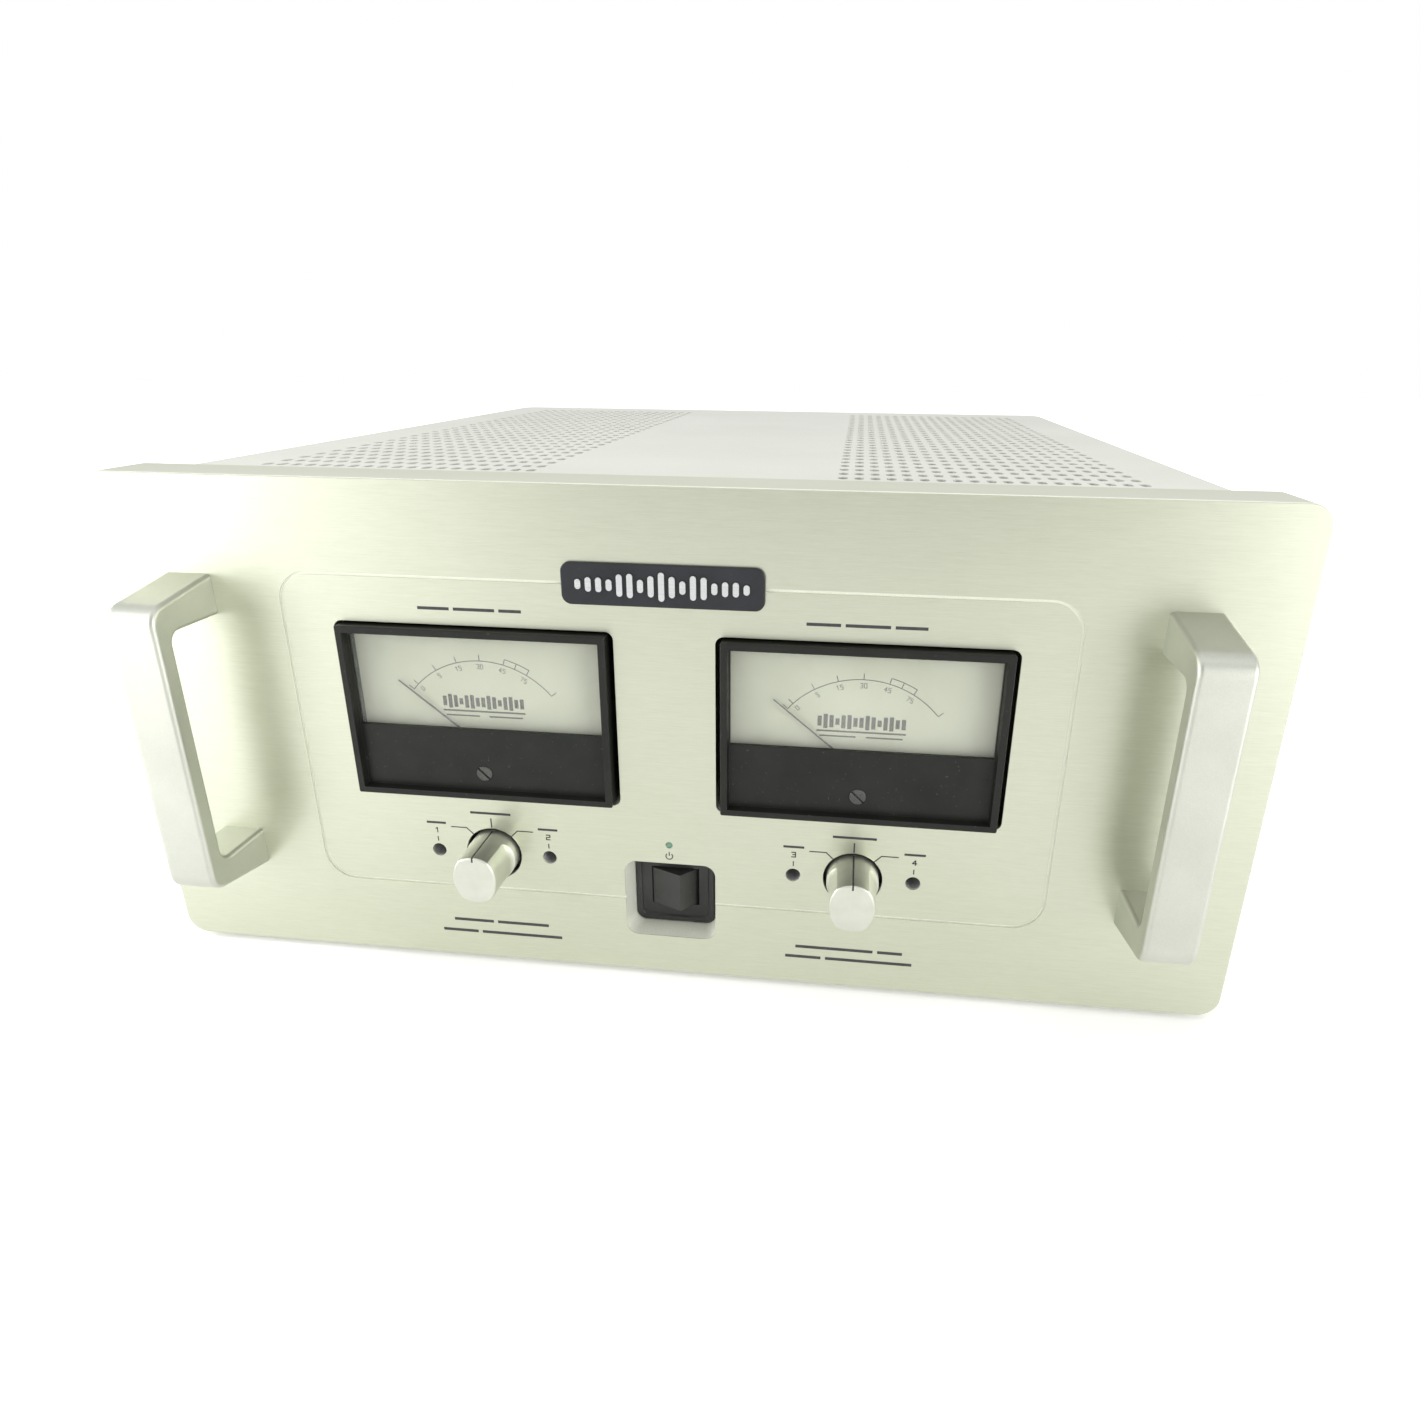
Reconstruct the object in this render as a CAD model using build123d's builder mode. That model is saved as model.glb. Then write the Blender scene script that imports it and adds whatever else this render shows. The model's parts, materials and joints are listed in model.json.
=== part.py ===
"""Valve stereo power amplifier, millimetres.

Frame: +Z up, the front panel faces -Y, the origin is at the middle of the footprint on the floor.
A "depth" is a distance behind the front panel's face, a "height" is measured from the panel's bottom edge.
"""
import math
import os

from build123d import *

os.makedirs("parts", exist_ok=True)

# ---------------------------------------------------------------- driving dimensions
panel_width = 482.6            # 19-inch rack width
panel_height = 222.25          # five rack units
panel_depth = 27.0             # front face to the back of the rim
face_thickness = 13.5          # plate left in front of the hollow
panel_corner_r = 9.3
rim_thickness = 5.0
hollow_half_width = 219.0
hollow_corner_r = 3.0
panel_clearance = 3.0          # panel's bottom edge above the floor

chassis_width = 444.5
chassis_depth = 474.0          # front face to the cover's rear edge
connector_reach = 21.0         # speaker terminals behind the cover
handle_reach = 36.0
foot_height = 12.0
sheet = 1.5                    # tray sheet
cover_sheet = 1.2
rear_sheet = 2.0
cover_drop = 1.95              # cover top below the panel's top edge
cover_corner_r = 12.0

front_y = handle_reach - (handle_reach + chassis_depth + connector_reach) / 2
rear_y = front_y + chassis_depth
cover_top = panel_clearance + panel_height - cover_drop
tray_half_width = chassis_width / 2 - cover_sheet
tray_front_depth = face_thickness
floor_z = foot_height + sheet  # inside surface of the tray
rear_panel_depth = chassis_depth - cover_sheet - rear_sheet

# meters
meter_x = 80.6
meter_height = 124.2
meter_opening = (119.4, 78.7)
bezel_size = (114.5, 76.6)
bezel_lip = 2.9
bezel_reach = 4.6
bezel_recess = 3.6
bezel_wall = 2.5
window_size = (107.2, 40.8)
window_height = 137.9          # window centre
dial_size = (108.6, 56.0)
dial_depth = 5.0
pointer_depth = 3.3
pointer_pivot_height = 107.0
pointer_length = 47.0
pointer_rest_angle = -50.6     # from straight up, clockwise positive
zero_screw_height = 97.0
zero_screw_r = 3.5

# bias selectors and trimmers
knob_x = 80.5
knob_height = 56.5
knob_r = 11.2
knob_grip_back = 9.65          # half width between the finger flats
knob_grip_front = 9.55
knob_reach = 22.9
knob_recess_r = 12.8
knob_recess_depth = 8.0
trimmer_offset = 25.8          # each side of its knob
trimmer_hole_r = 3.2
shaft_r = 3.0
running_gap = 0.05

# power switch
switch_height = 38.55
switch_front_size = (40.9, 38.5)
switch_back_size = (36.8, 38.1)
rocker_pivot_depth = 21.6
rocker_ridge_r = 15.9
rocker_side_r = 14.1
rocker_half_angle = 12.0
rocker_slope = 35.0
rocker_length = 18.6
rocker_gap = 0.3
led_height = 67.0
led_r = 1.6

# handles
handle_x = 201.7
handle_width = 20.3
handle_bottom = 43.0
handle_top = 181.3
handle_leg = 17.7
handle_bar = 8.5
handle_taper = 6.5             # each leg's outer side slopes in by this much at the front
handle_corner_r = 8.3

# cooling fans, centres on the rear panel
fan_x = 150.0
fan_z = 160.0
fan_size = 80.0
fan_depth = 25.0
fan_bore_r = 38.0

# rear connectors
input_x = 60.0
input_z = 165.0
inlet_z = 62.0
fuse_x = 55.0
terminal_x = 140.0
terminal_z = 72.0
terminal_pitch = 21.0
terminal_count = 4

# inside
board_x = 150.0
board_size = (118.0, 340.0)
board_depth = 245.0
board_z = 38.0
board_thickness = 1.6
output_tube_depths = (115.0, 185.0)
driver_tube_depths = (245.0, 280.0)
capacitor_depths = (330.0, 375.0)
screw_r = 2.0
screw_head_r = 3.7
screw_head_height = 2.2


def at_depth(depth):
    """Plane parallel to the panel: sketch x is X, sketch y is Z, a positive extrude comes forward."""
    return Plane.XZ.offset(-(front_y + depth))


def at_level(z):
    """Horizontal plane: sketch x is X, sketch y is Y."""
    return Plane.XY.offset(z)


def turned_about_y(x, depth, z):
    """Plane for the half profile of something turned about a line along Y: x is radius, y is depth."""
    return Plane(origin=(x, front_y + depth, z), x_dir=(1, 0, 0), z_dir=(0, 0, 1))


def spin_axis(x, z):
    return Axis((x, 0, z), (0, 1, 0))


def height(value):
    return panel_clearance + value


def save(piece, label):
    piece.part.label = label
    export_step(piece.part, f"parts/{label}.step")


def mirrored_points(x, z):
    return [(-x, z), (x, z)]


sides = {"left": -1, "right": 1}
panel_mid_z = height(panel_height / 2)
handle_screw_zs = (height(handle_bottom + handle_leg / 2), height(handle_top - handle_leg / 2))
handle_screw_points = [(side * handle_x, z) for side in (-1, 1) for z in handle_screw_zs]
trimmer_xs = [side * knob_x + step * trimmer_offset for side in (-1, 1) for step in (-1, 1)]
trimmer_points = [(x, height(knob_height)) for x in trimmer_xs]
knob_points = mirrored_points(knob_x, height(knob_height))
meter_points = mirrored_points(meter_x, height(meter_height))
fan_points = mirrored_points(fan_x, fan_z)
fan_screw_pitch = 71.5
input_points = mirrored_points(input_x, input_z)
terminal_points = mirrored_points(terminal_x, terminal_z)


# ---------------------------------------------------------------- front panel and badge
groove_size = (323.8, 144.8)
groove_height = 110.9
groove_corner_r = 13.0
groove_width = 1.3
groove_depth = 0.8

with BuildPart() as front_panel:
    with BuildSketch(at_depth(panel_depth)):
        with Locations((0, panel_mid_z)):
            RectangleRounded(panel_width, panel_height, panel_corner_r)
    extrude(amount=panel_depth)
    front_edges = front_panel.faces().sort_by(Axis.Y)[0].edges()
    chamfer(front_edges, length=0.5)
    with BuildSketch(at_depth(panel_depth)):
        with Locations((0, panel_mid_z)):
            RectangleRounded(2 * hollow_half_width, panel_height - 2 * rim_thickness, hollow_corner_r)
    extrude(amount=panel_depth - face_thickness, mode=Mode.SUBTRACT)
    with BuildSketch(at_depth(face_thickness)):
        with Locations(*meter_points):
            RectangleRounded(*meter_opening, 3.5)
        with Locations(*knob_points):
            Circle(5)
        with Locations(*trimmer_points):
            Circle(trimmer_hole_r)
        with Locations((0, height(led_height))):
            Circle(led_r)
        with Locations(*handle_screw_points):
            Circle(3.0)
    extrude(amount=face_thickness, mode=Mode.SUBTRACT)
    with BuildSketch(at_depth(knob_recess_depth)):
        with Locations(*knob_points):
            Circle(knob_recess_r)
    extrude(amount=knob_recess_depth, mode=Mode.SUBTRACT)
    with BuildSketch(at_depth(face_thickness)):
        with Locations((0, height(switch_height))):
            RectangleRounded(*switch_back_size, 4.5)
    with BuildSketch(at_depth(0)):
        with Locations((0, height(switch_height))):
            RectangleRounded(*switch_front_size, 5.5)
    loft(mode=Mode.SUBTRACT)
    with BuildSketch(at_depth(0)):
        with Locations((0, height(groove_height))):
            RectangleRounded(groove_size[0] + groove_width, groove_size[1] + groove_width,
                             groove_corner_r + groove_width / 2)
            RectangleRounded(groove_size[0] - groove_width, groove_size[1] - groove_width,
                             groove_corner_r - groove_width / 2, mode=Mode.SUBTRACT)
    extrude(amount=-groove_depth, mode=Mode.SUBTRACT)
front_panel.part.label = "front_panel"
export_step(front_panel.part, "parts/front_panel.step")

badge_size = (81.4, 17.2)
badge_height = 183.5
badge_thickness = 1.4
emblem_bars = 17
emblem_pitch = 4.2
emblem_bar_width = 2.4
emblem_relief = 0.8

with BuildPart() as badge_plate:
    with BuildSketch(at_depth(0)):
        with Locations((0, height(badge_height))):
            RectangleRounded(*badge_size, 4)
    extrude(amount=badge_thickness)
    fillet(badge_plate.faces().sort_by(Axis.Y)[0].edges(), radius=0.5)
badge_plate.part.label = "badge_plate"
export_step(badge_plate.part, "parts/badge_plate.step")

with BuildPart() as badge_emblem:
    with BuildSketch(at_depth(-badge_thickness)):
        for bar in range(emblem_bars):
            place = bar - (emblem_bars - 1) / 2
            swell = math.cos(place / emblem_bars * math.pi)
            bar_length = 3.6 + 8.0 * swell * abs(math.cos(place * 0.9))
            with Locations((place * emblem_pitch, height(badge_height))):
                SlotOverall(bar_length, emblem_bar_width, rotation=90)
    extrude(amount=emblem_relief)
badge_emblem.part.label = "badge_emblem"
export_step(badge_emblem.part, "parts/badge_emblem.step")


# ---------------------------------------------------------------- handles and their screws
def build_handle(side):
    """Solid U handle: legs whose outer sides slope in, and a wide flat bar in front."""
    profile_plane = Plane(origin=(side * handle_x - handle_width / 2, front_y, 0), x_dir=(0, -1, 0),
                          z_dir=(1, 0, 0))
    middle = height((handle_bottom + handle_top) / 2)
    length = handle_top - handle_bottom
    with BuildPart() as handle:
        with BuildSketch(profile_plane) as outline:
            with BuildLine(Location((0, -middle))):
                Polyline((0, -length / 2), (handle_reach, handle_taper - length / 2),
                         (handle_reach, length / 2 - handle_taper), (0, length / 2), close=True)
            make_face()
            fillet(outline.vertices().group_by(Axis.X)[-1], radius=handle_corner_r)
            with Locations(((handle_reach - handle_bar) / 2 - 5, -middle)):
                RectangleRounded(handle_reach - handle_bar + 10, length - 2 * handle_leg, 4.9,
                                 mode=Mode.SUBTRACT)
        extrude(amount=handle_width)
        long_edges = handle.faces().sort_by(Axis.X)[0].edges() + handle.faces().sort_by(Axis.X)[-1].edges()
        fillet(long_edges.filter_by(lambda edge: edge.center().Y < front_y - 0.1), radius=1.9)
        with BuildSketch(at_depth(0)):
            with Locations(*[(side * handle_x, z) for z in handle_screw_zs]):
                Circle(3.0)
        extrude(amount=14, mode=Mode.SUBTRACT)
    return handle


for name, side in sides.items():
    save(build_handle(side), f"handle_{name}")

with BuildPart() as handle_screws:
    with BuildSketch(at_depth(tray_front_depth + sheet)):
        with Locations(*handle_screw_points):
            Circle(3.0)
    extrude(amount=tray_front_depth + sheet + 14)
    with BuildSketch(at_depth(tray_front_depth + sheet)):
        with Locations(*handle_screw_points):
            Circle(5.0)
            RegularPolygon(2.6, 6, mode=Mode.SUBTRACT)
    extrude(amount=-6.0)
handle_screws.part.label = "handle_screws"
export_step(handle_screws.part, "parts/handle_screws.step")


# ---------------------------------------------------------------- chassis tray, rear panel, cover, feet
tray_rear_depth = rear_panel_depth
tray_length = tray_rear_depth - tray_front_depth
tray_side_height = 30.0
tray_side_length = tray_rear_depth - panel_depth - cover_corner_r
foot_points = [(x, front_y + depth) for x in (-185, 185) for depth in (55, 425)]
transformer_bolt_half = {"power": (58.0, 34.0), "output": (38.0, 27.0)}
power_transformer_place = (0.0, front_y + 120)
output_transformer_places = {"left": (-47.0, front_y + 250), "right": (47.0, front_y + 250)}
bolt_points = [
    (place[0] + i * half[0], place[1] + j * half[1])
    for place, half in (
        (power_transformer_place, transformer_bolt_half["power"]),
        (output_transformer_places["left"], transformer_bolt_half["output"]),
        (output_transformer_places["right"], transformer_bolt_half["output"]),
    )
    for i in (-1, 1)
    for j in (-1, 1)
]
standoff_points = [
    (side * board_x + i * 53.0, front_y + board_depth + j * 80.0)
    for side in (-1, 1)
    for i in (-1, 1)
    for j in (-2, 0, 2)
]
side_screw_depths = (60.0, 180.0, 300.0, 420.0)
side_screw_z = 30.0

with BuildPart() as chassis_tray:
    with BuildSketch(at_level(foot_height)) as tray_outline:
        with Locations((0, front_y + tray_front_depth + tray_length / 2)):
            Rectangle(2 * hollow_half_width - 0.4, tray_length)
        with Locations((0, front_y + panel_depth + (tray_rear_depth - panel_depth) / 2)):
            Rectangle(2 * tray_half_width, tray_rear_depth - panel_depth)
        fillet(tray_outline.vertices().group_by(Axis.Y)[-1], radius=cover_corner_r)
        with Locations(*foot_points):
            Circle(screw_r, mode=Mode.SUBTRACT)
        with Locations(*bolt_points):
            Circle(3.0, mode=Mode.SUBTRACT)
        for side in (-1, 1):
            with Locations((side * board_x, front_y + board_depth - 85)):
                with GridLocations(14.0, 40.0, 7, 2):
                    SlotOverall(26, 5, rotation=90, mode=Mode.SUBTRACT)
    extrude(amount=sheet)
    with BuildSketch(at_level(floor_z)):
        for side in (-1, 1):
            with Locations((side * (tray_half_width - sheet / 2), front_y + panel_depth + tray_side_length / 2)):
                Rectangle(sheet, tray_side_length)
    extrude(amount=tray_side_height)
    with BuildSketch(at_depth(tray_front_depth + sheet)):
        with Locations((0, (foot_height + height(211)) / 2)):
            Rectangle(2 * hollow_half_width - 0.4, height(211) - foot_height)
        with Locations(*meter_points):
            RectangleRounded(*meter_opening, 3.5, mode=Mode.SUBTRACT)
        with Locations(*knob_points):
            Circle(5, mode=Mode.SUBTRACT)
        with Locations(*trimmer_points):
            Circle(2.4, mode=Mode.SUBTRACT)
        with Locations((0, height(led_height))):
            Circle(led_r, mode=Mode.SUBTRACT)
        with Locations(*handle_screw_points):
            Circle(3.0, mode=Mode.SUBTRACT)
        with Locations((0, height(switch_height))):
            Rectangle(33.0, 26.0, mode=Mode.SUBTRACT)
    extrude(amount=sheet)
    for side in (-1, 1):
        with BuildSketch(Plane.YZ.offset(side * tray_half_width)):
            with Locations(*[(front_y + depth, side_screw_z) for depth in side_screw_depths]):
                Circle(screw_r)
        extrude(amount=-side * sheet, mode=Mode.SUBTRACT)
chassis_tray.part.label = "chassis_tray"
export_step(chassis_tray.part, "parts/chassis_tray.step")

rear_panel_top = 214.0
rear_panel_half_width = 209.0
rear_screw_points = [(x, z) for x in (-204, 204) for z in (60, 190)] + [(x, 209.5) for x in (-70, 70)]
inlet_size = (28.0, 20.0)

with BuildPart() as rear_panel:
    with BuildSketch(at_depth(rear_panel_depth + rear_sheet)):
        with Locations((0, (floor_z + rear_panel_top) / 2)):
            Rectangle(2 * rear_panel_half_width, rear_panel_top - floor_z)
        with Locations(*fan_points):
            Circle(fan_bore_r, mode=Mode.SUBTRACT)
            with GridLocations(fan_screw_pitch, fan_screw_pitch, 2, 2):
                Circle(screw_r, mode=Mode.SUBTRACT)
        with Locations(*input_points):
            Circle(11.8, mode=Mode.SUBTRACT)
        with Locations((0, inlet_z)):
            Rectangle(*inlet_size, mode=Mode.SUBTRACT)
        with Locations((fuse_x, inlet_z)):
            Circle(6.5, mode=Mode.SUBTRACT)
        with Locations((-fuse_x, inlet_z)):
            Circle(4.0, mode=Mode.SUBTRACT)
        with Locations(*rear_screw_points):
            Circle(screw_r, mode=Mode.SUBTRACT)
    extrude(amount=rear_sheet)
rear_panel.part.label = "rear_panel"
export_step(rear_panel.part, "parts/rear_panel.step")

slot_columns = 19
slot_rows = 28
slot_column_pitch = 6.8
slot_row_pitch = 14.2
slot_field_x = 129.0
slot_field_depth = 241.2
slot_size = (7.5, 4.0)
cover_length = chassis_depth - panel_depth
cover_mid_y = front_y + panel_depth + cover_length / 2
rear_window_half_width = 199.0
rear_window_top = 204.0


def cover_block(inset, corner_r, edge_r):
    """Solid block of the cover's outline, drawn in by inset, with rounded rear corners and top edges."""
    with BuildPart() as block:
        with BuildSketch(at_level(foot_height)) as outline:
            with Locations((0, cover_mid_y - inset / 2)):
                Rectangle(chassis_width - 2 * inset, cover_length - inset)
            fillet(outline.vertices().group_by(Axis.Y)[-1], radius=corner_r)
        extrude(amount=cover_top - inset - foot_height)
        top_edges = block.faces().sort_by(Axis.Z)[-1].edges()
        fillet(top_edges.filter_by(lambda edge: edge.center().Y > front_y + panel_depth + 1), radius=edge_r)
    return block.part


cover_outer = cover_block(0, cover_corner_r, 2.0)
cover_inner = cover_block(cover_sheet, cover_corner_r - cover_sheet, 0.8)

with BuildPart() as top_cover:
    add(cover_outer)
    add(cover_inner, mode=Mode.SUBTRACT)
    with BuildSketch(at_depth(chassis_depth)):
        with Locations((0, (foot_height + rear_window_top) / 2)):
            Rectangle(2 * rear_window_half_width, rear_window_top - foot_height)
    extrude(amount=cover_sheet, mode=Mode.SUBTRACT)
    with BuildSketch(at_depth(chassis_depth)):
        with Locations(*rear_screw_points):
            Circle(screw_r)
    extrude(amount=cover_sheet, mode=Mode.SUBTRACT)
    for side in (-1, 1):
        with BuildSketch(Plane.YZ.offset(side * chassis_width / 2)):
            with Locations(*[(front_y + depth, side_screw_z) for depth in side_screw_depths]):
                Circle(screw_r)
        extrude(amount=-side * cover_sheet, mode=Mode.SUBTRACT)
    with BuildSketch(at_level(cover_top)):
        with Locations((-slot_field_x, front_y + slot_field_depth), (slot_field_x, front_y + slot_field_depth)):
            with GridLocations(slot_column_pitch, slot_row_pitch, slot_columns, slot_rows):
                SlotOverall(*slot_size, rotation=90)
    extrude(amount=-cover_sheet, mode=Mode.SUBTRACT)
top_cover.part.label = "top_cover"
export_step(top_cover.part, "parts/top_cover.step")

foot_r = 17.0
foot_recess_depth = 5.0

with BuildPart() as feet:
    with BuildSketch(at_level(foot_height)):
        with Locations(*foot_points):
            Circle(foot_r)
    extrude(amount=-foot_height, taper=8)
    with BuildSketch(at_level(0)):
        with Locations(*foot_points):
            Circle(6)
    extrude(amount=foot_recess_depth, mode=Mode.SUBTRACT)
    with BuildSketch(at_level(0)):
        with Locations(*foot_points):
            Circle(screw_r)
    extrude(amount=foot_height, mode=Mode.SUBTRACT)
feet.part.label = "feet"
export_step(feet.part, "parts/feet.step")

guard_ring_depth = chassis_depth - cover_sheet + 4.0
guard_wire_r = 1.0
fan_screw_seat = guard_ring_depth - guard_wire_r
fan_screw_points = [
    (x + i * fan_screw_pitch / 2, z + j * fan_screw_pitch / 2)
    for x, z in fan_points
    for i in (-1, 1)
    for j in (-1, 1)
]

with BuildPart() as chassis_screws:
    for side in (-1, 1):
        screw_places = [(front_y + depth, side_screw_z) for depth in side_screw_depths]
        with BuildSketch(Plane.YZ.offset(side * chassis_width / 2)):
            with Locations(*screw_places):
                Circle(screw_head_r)
        extrude(amount=side * screw_head_height)
        with BuildSketch(Plane.YZ.offset(side * chassis_width / 2)):
            with Locations(*screw_places):
                Circle(screw_r)
        extrude(amount=-side * 6)
    with BuildSketch(at_depth(chassis_depth)):
        with Locations(*rear_screw_points):
            Circle(screw_head_r)
    extrude(amount=-screw_head_height)
    with BuildSketch(at_depth(chassis_depth)):
        with Locations(*rear_screw_points):
            Circle(screw_r)
    extrude(amount=6)
    with BuildSketch(at_level(foot_recess_depth)):
        with Locations(*foot_points):
            Circle(screw_head_r)
    extrude(amount=-screw_head_height)
    with BuildSketch(at_level(foot_recess_depth)):
        with Locations(*foot_points):
            Circle(screw_r)
    extrude(amount=floor_z + 3 - foot_recess_depth)
    with BuildSketch(at_depth(fan_screw_seat)):
        with Locations(*fan_screw_points):
            Circle(screw_head_r)
    extrude(amount=-screw_head_height)
    with BuildSketch(at_depth(fan_screw_seat)):
        with Locations(*fan_screw_points):
            Circle(screw_r)
    extrude(amount=fan_screw_seat - rear_panel_depth + fan_depth)
chassis_screws.part.label = "chassis_screws"
export_step(chassis_screws.part, "parts/chassis_screws.step")


# ---------------------------------------------------------------- meters
meter_flange_depth = tray_front_depth + sheet
meter_back_depth = meter_flange_depth + 2.0
mask_front_depth = bezel_recess - bezel_reach
mask_back_depth = mask_front_depth + 2.0
lens_thickness = 1.4
case_back_depth = 46.0
pointer_shaft_r = 0.75
zero_stem_r = 1.2


def build_meter_bezel(x):
    """Moulded frame with a black mask over its lower half and a window over its upper half."""
    centre = (x, height(meter_height))
    with BuildPart() as bezel:
        with BuildSketch(at_depth(meter_back_depth)):
            with Locations(centre):
                RectangleRounded(*bezel_size, 0.8)
        extrude(amount=meter_back_depth + bezel_reach)
        with BuildSketch(at_depth(meter_back_depth)):
            with Locations(centre):
                RectangleRounded(meter_opening[0] + 7, meter_opening[1] + 7, 4)
        extrude(amount=meter_back_depth - meter_flange_depth)
        front_rim = bezel.faces().sort_by(Axis.Y)[0].edges()
        chamfer(front_rim, length=0.4)
        with BuildSketch(at_depth(mask_front_depth)):
            with Locations(centre):
                Rectangle(bezel_size[0] - 2 * bezel_lip - 1.0, bezel_size[1] - 2 * bezel_lip - 1.0)
        with BuildSketch(at_depth(-bezel_reach)):
            with Locations(centre):
                Rectangle(bezel_size[0] - 2 * bezel_lip, bezel_size[1] - 2 * bezel_lip)
        loft(mode=Mode.SUBTRACT)
        with BuildSketch(at_depth(meter_back_depth)):
            with Locations(centre):
                Rectangle(bezel_size[0] - 2 * bezel_wall, bezel_size[1] - 2 * bezel_wall)
        extrude(amount=meter_back_depth - mask_back_depth, mode=Mode.SUBTRACT)
        with BuildSketch(at_depth(mask_back_depth)):
            with Locations((x, height(window_height))):
                Rectangle(*window_size)
            with Locations((x, height(zero_screw_height))):
                Circle(zero_screw_r + running_gap)
        extrude(amount=mask_back_depth - mask_front_depth, mode=Mode.SUBTRACT)
    return bezel


def build_meter_lens(x):
    with BuildPart() as lens:
        with BuildSketch(at_depth(mask_back_depth + lens_thickness)):
            with Locations((x, height(window_height))):
                Rectangle(window_size[0] + 1.8, window_size[1] + 1.2)
        extrude(amount=lens_thickness)
    return lens


def build_meter_dial(x):
    dial_centre = height(meter_height + bezel_size[1] / 2 - bezel_wall - 0.6 - dial_size[1] / 2)
    with BuildPart() as dial:
        with BuildSketch(at_depth(dial_depth + 1)):
            with Locations((x, dial_centre)):
                Rectangle(*dial_size)
            with Locations((x, height(pointer_pivot_height))):
                Circle(1.6, mode=Mode.SUBTRACT)
        extrude(amount=1)
    return dial


def build_meter_case(x):
    """Closed movement housing behind the dial, with the two terminal studs."""
    case_size = (104.0, 67.0)
    with BuildPart() as case:
        with BuildSketch(at_depth(case_back_depth)):
            with Locations((x, height(meter_height))):
                RectangleRounded(*case_size, 3)
        extrude(amount=case_back_depth - dial_depth - 1)
        with BuildSketch(at_depth(case_back_depth)):
            with Locations((x - 20, height(meter_height)), (x + 20, height(meter_height))):
                Circle(2.5)
        extrude(amount=-12)
        with BuildSketch(at_depth(20)):
            with Locations((x, height(pointer_pivot_height))):
                Circle(pointer_shaft_r + running_gap)
            with Locations((x, height(zero_screw_height))):
                Circle(zero_stem_r + running_gap)
        extrude(amount=20 - dial_depth - 1, mode=Mode.SUBTRACT)
    return case


def build_pointer(x):
    """Needle blade with its hub, counterweight tail and spindle."""
    lean = math.radians(pointer_rest_angle)
    along = (math.sin(lean), 0, math.cos(lean))
    blade_plane = Plane(origin=(x, front_y + pointer_depth + 0.5, height(pointer_pivot_height)),
                        x_dir=along, z_dir=(0, -1, 0))
    with BuildPart() as pointer:
        with BuildSketch(blade_plane):
            with BuildLine():
                Polyline((-7, -1.3), (0, -0.42), (pointer_length, -0.22), (pointer_length, 0.22), (0, 0.42),
                         (-7, 1.3), close=True)
            make_face()
            Circle(2.4)
        extrude(amount=0.5)
        with BuildSketch(blade_plane):
            Circle(pointer_shaft_r)
        extrude(amount=-12)
    return pointer


def build_zero_screw(x):
    slot_plane = Plane(origin=(x, front_y + mask_front_depth - 0.5, height(zero_screw_height)),
                       x_dir=(1, 0, -1), z_dir=(0, -1, 0))
    with BuildPart() as screw:
        with BuildSketch(slot_plane):
            Circle(zero_screw_r)
        extrude(amount=-2.0)
        with BuildSketch(slot_plane.offset(-2.0)):
            Circle(zero_stem_r)
        extrude(amount=-9.0)
        fillet(screw.faces().sort_by(Axis.Y)[0].edges(), radius=0.4)
        with BuildSketch(slot_plane):
            Rectangle(2 * zero_screw_r + 1, 0.9)
        extrude(amount=-0.9, mode=Mode.SUBTRACT)
    return screw


meter_builders = {
    "meter_bezel": build_meter_bezel,
    "meter_lens": build_meter_lens,
    "meter_dial": build_meter_dial,
    "meter_case": build_meter_case,
    "pointer": build_pointer,
    "zero_screw": build_zero_screw,
}
for name, side in sides.items():
    for kind, build in meter_builders.items():
        save(build(side * meter_x), f"{kind}_{name}")


# ---------------------------------------------------------------- bias selectors and trimmers
knob_tail_depth = 5.0
switch_body_depth = 40.0
index_width = 0.8
index_cut = 0.5
index_drop = 2.2               # length of the index line down the front face
grip_offset = 5.6             # the finger flats bulge about lines this far past the knob's axis
cove_start = 7.0               # reach at which each flat runs out into its cove
cove_r = 4.0


def build_knob(x):
    """Round knob with two finger flats, a filled index line, and its switch shaft."""
    centre_z = height(knob_height)
    with BuildPart() as knob:
        with BuildSketch(turned_about_y(x, 0, centre_z)):
            with BuildLine():
                Polyline((0, -knob_reach), (knob_r, -knob_reach), (knob_r, knob_tail_depth),
                         (shaft_r, knob_tail_depth), (shaft_r, 34), (0, 34), close=True)
            make_face()
        revolve(axis=spin_axis(x, centre_z))
        for side in (-1, 1):
            near = grip_offset + knob_grip_back
            far = near + cove_r
            with BuildSketch(turned_about_y(x - side * grip_offset, 0, centre_z)):
                with BuildLine():
                    Line((near, -cove_start), (grip_offset + knob_grip_front, -knob_reach - 1))
                    Polyline((grip_offset + knob_grip_front, -knob_reach - 1), (far, -knob_reach - 1),
                             (far, cove_r - cove_start))
                    RadiusArc((far, cove_r - cove_start), (near, -cove_start), -cove_r)
                make_face()
            revolve(axis=spin_axis(x - side * grip_offset, centre_z), mode=Mode.SUBTRACT)
        fillet(knob.faces().sort_by(Axis.Y)[0].edges(), radius=0.9)
        with BuildSketch(at_depth(-knob_reach)):
            with Locations((x, centre_z + knob_r)):
                Rectangle(index_width, 2 * index_drop)
        extrude(amount=-index_cut, mode=Mode.SUBTRACT)
        with BuildSketch(at_level(centre_z + knob_r)):
            with Locations((x, front_y - knob_reach / 2)):
                Rectangle(index_width, knob_reach + 2)
        extrude(amount=-index_cut, mode=Mode.SUBTRACT)
    return knob


for name, side in sides.items():
    save(build_knob(side * knob_x), f"knob_{name}")

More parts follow.
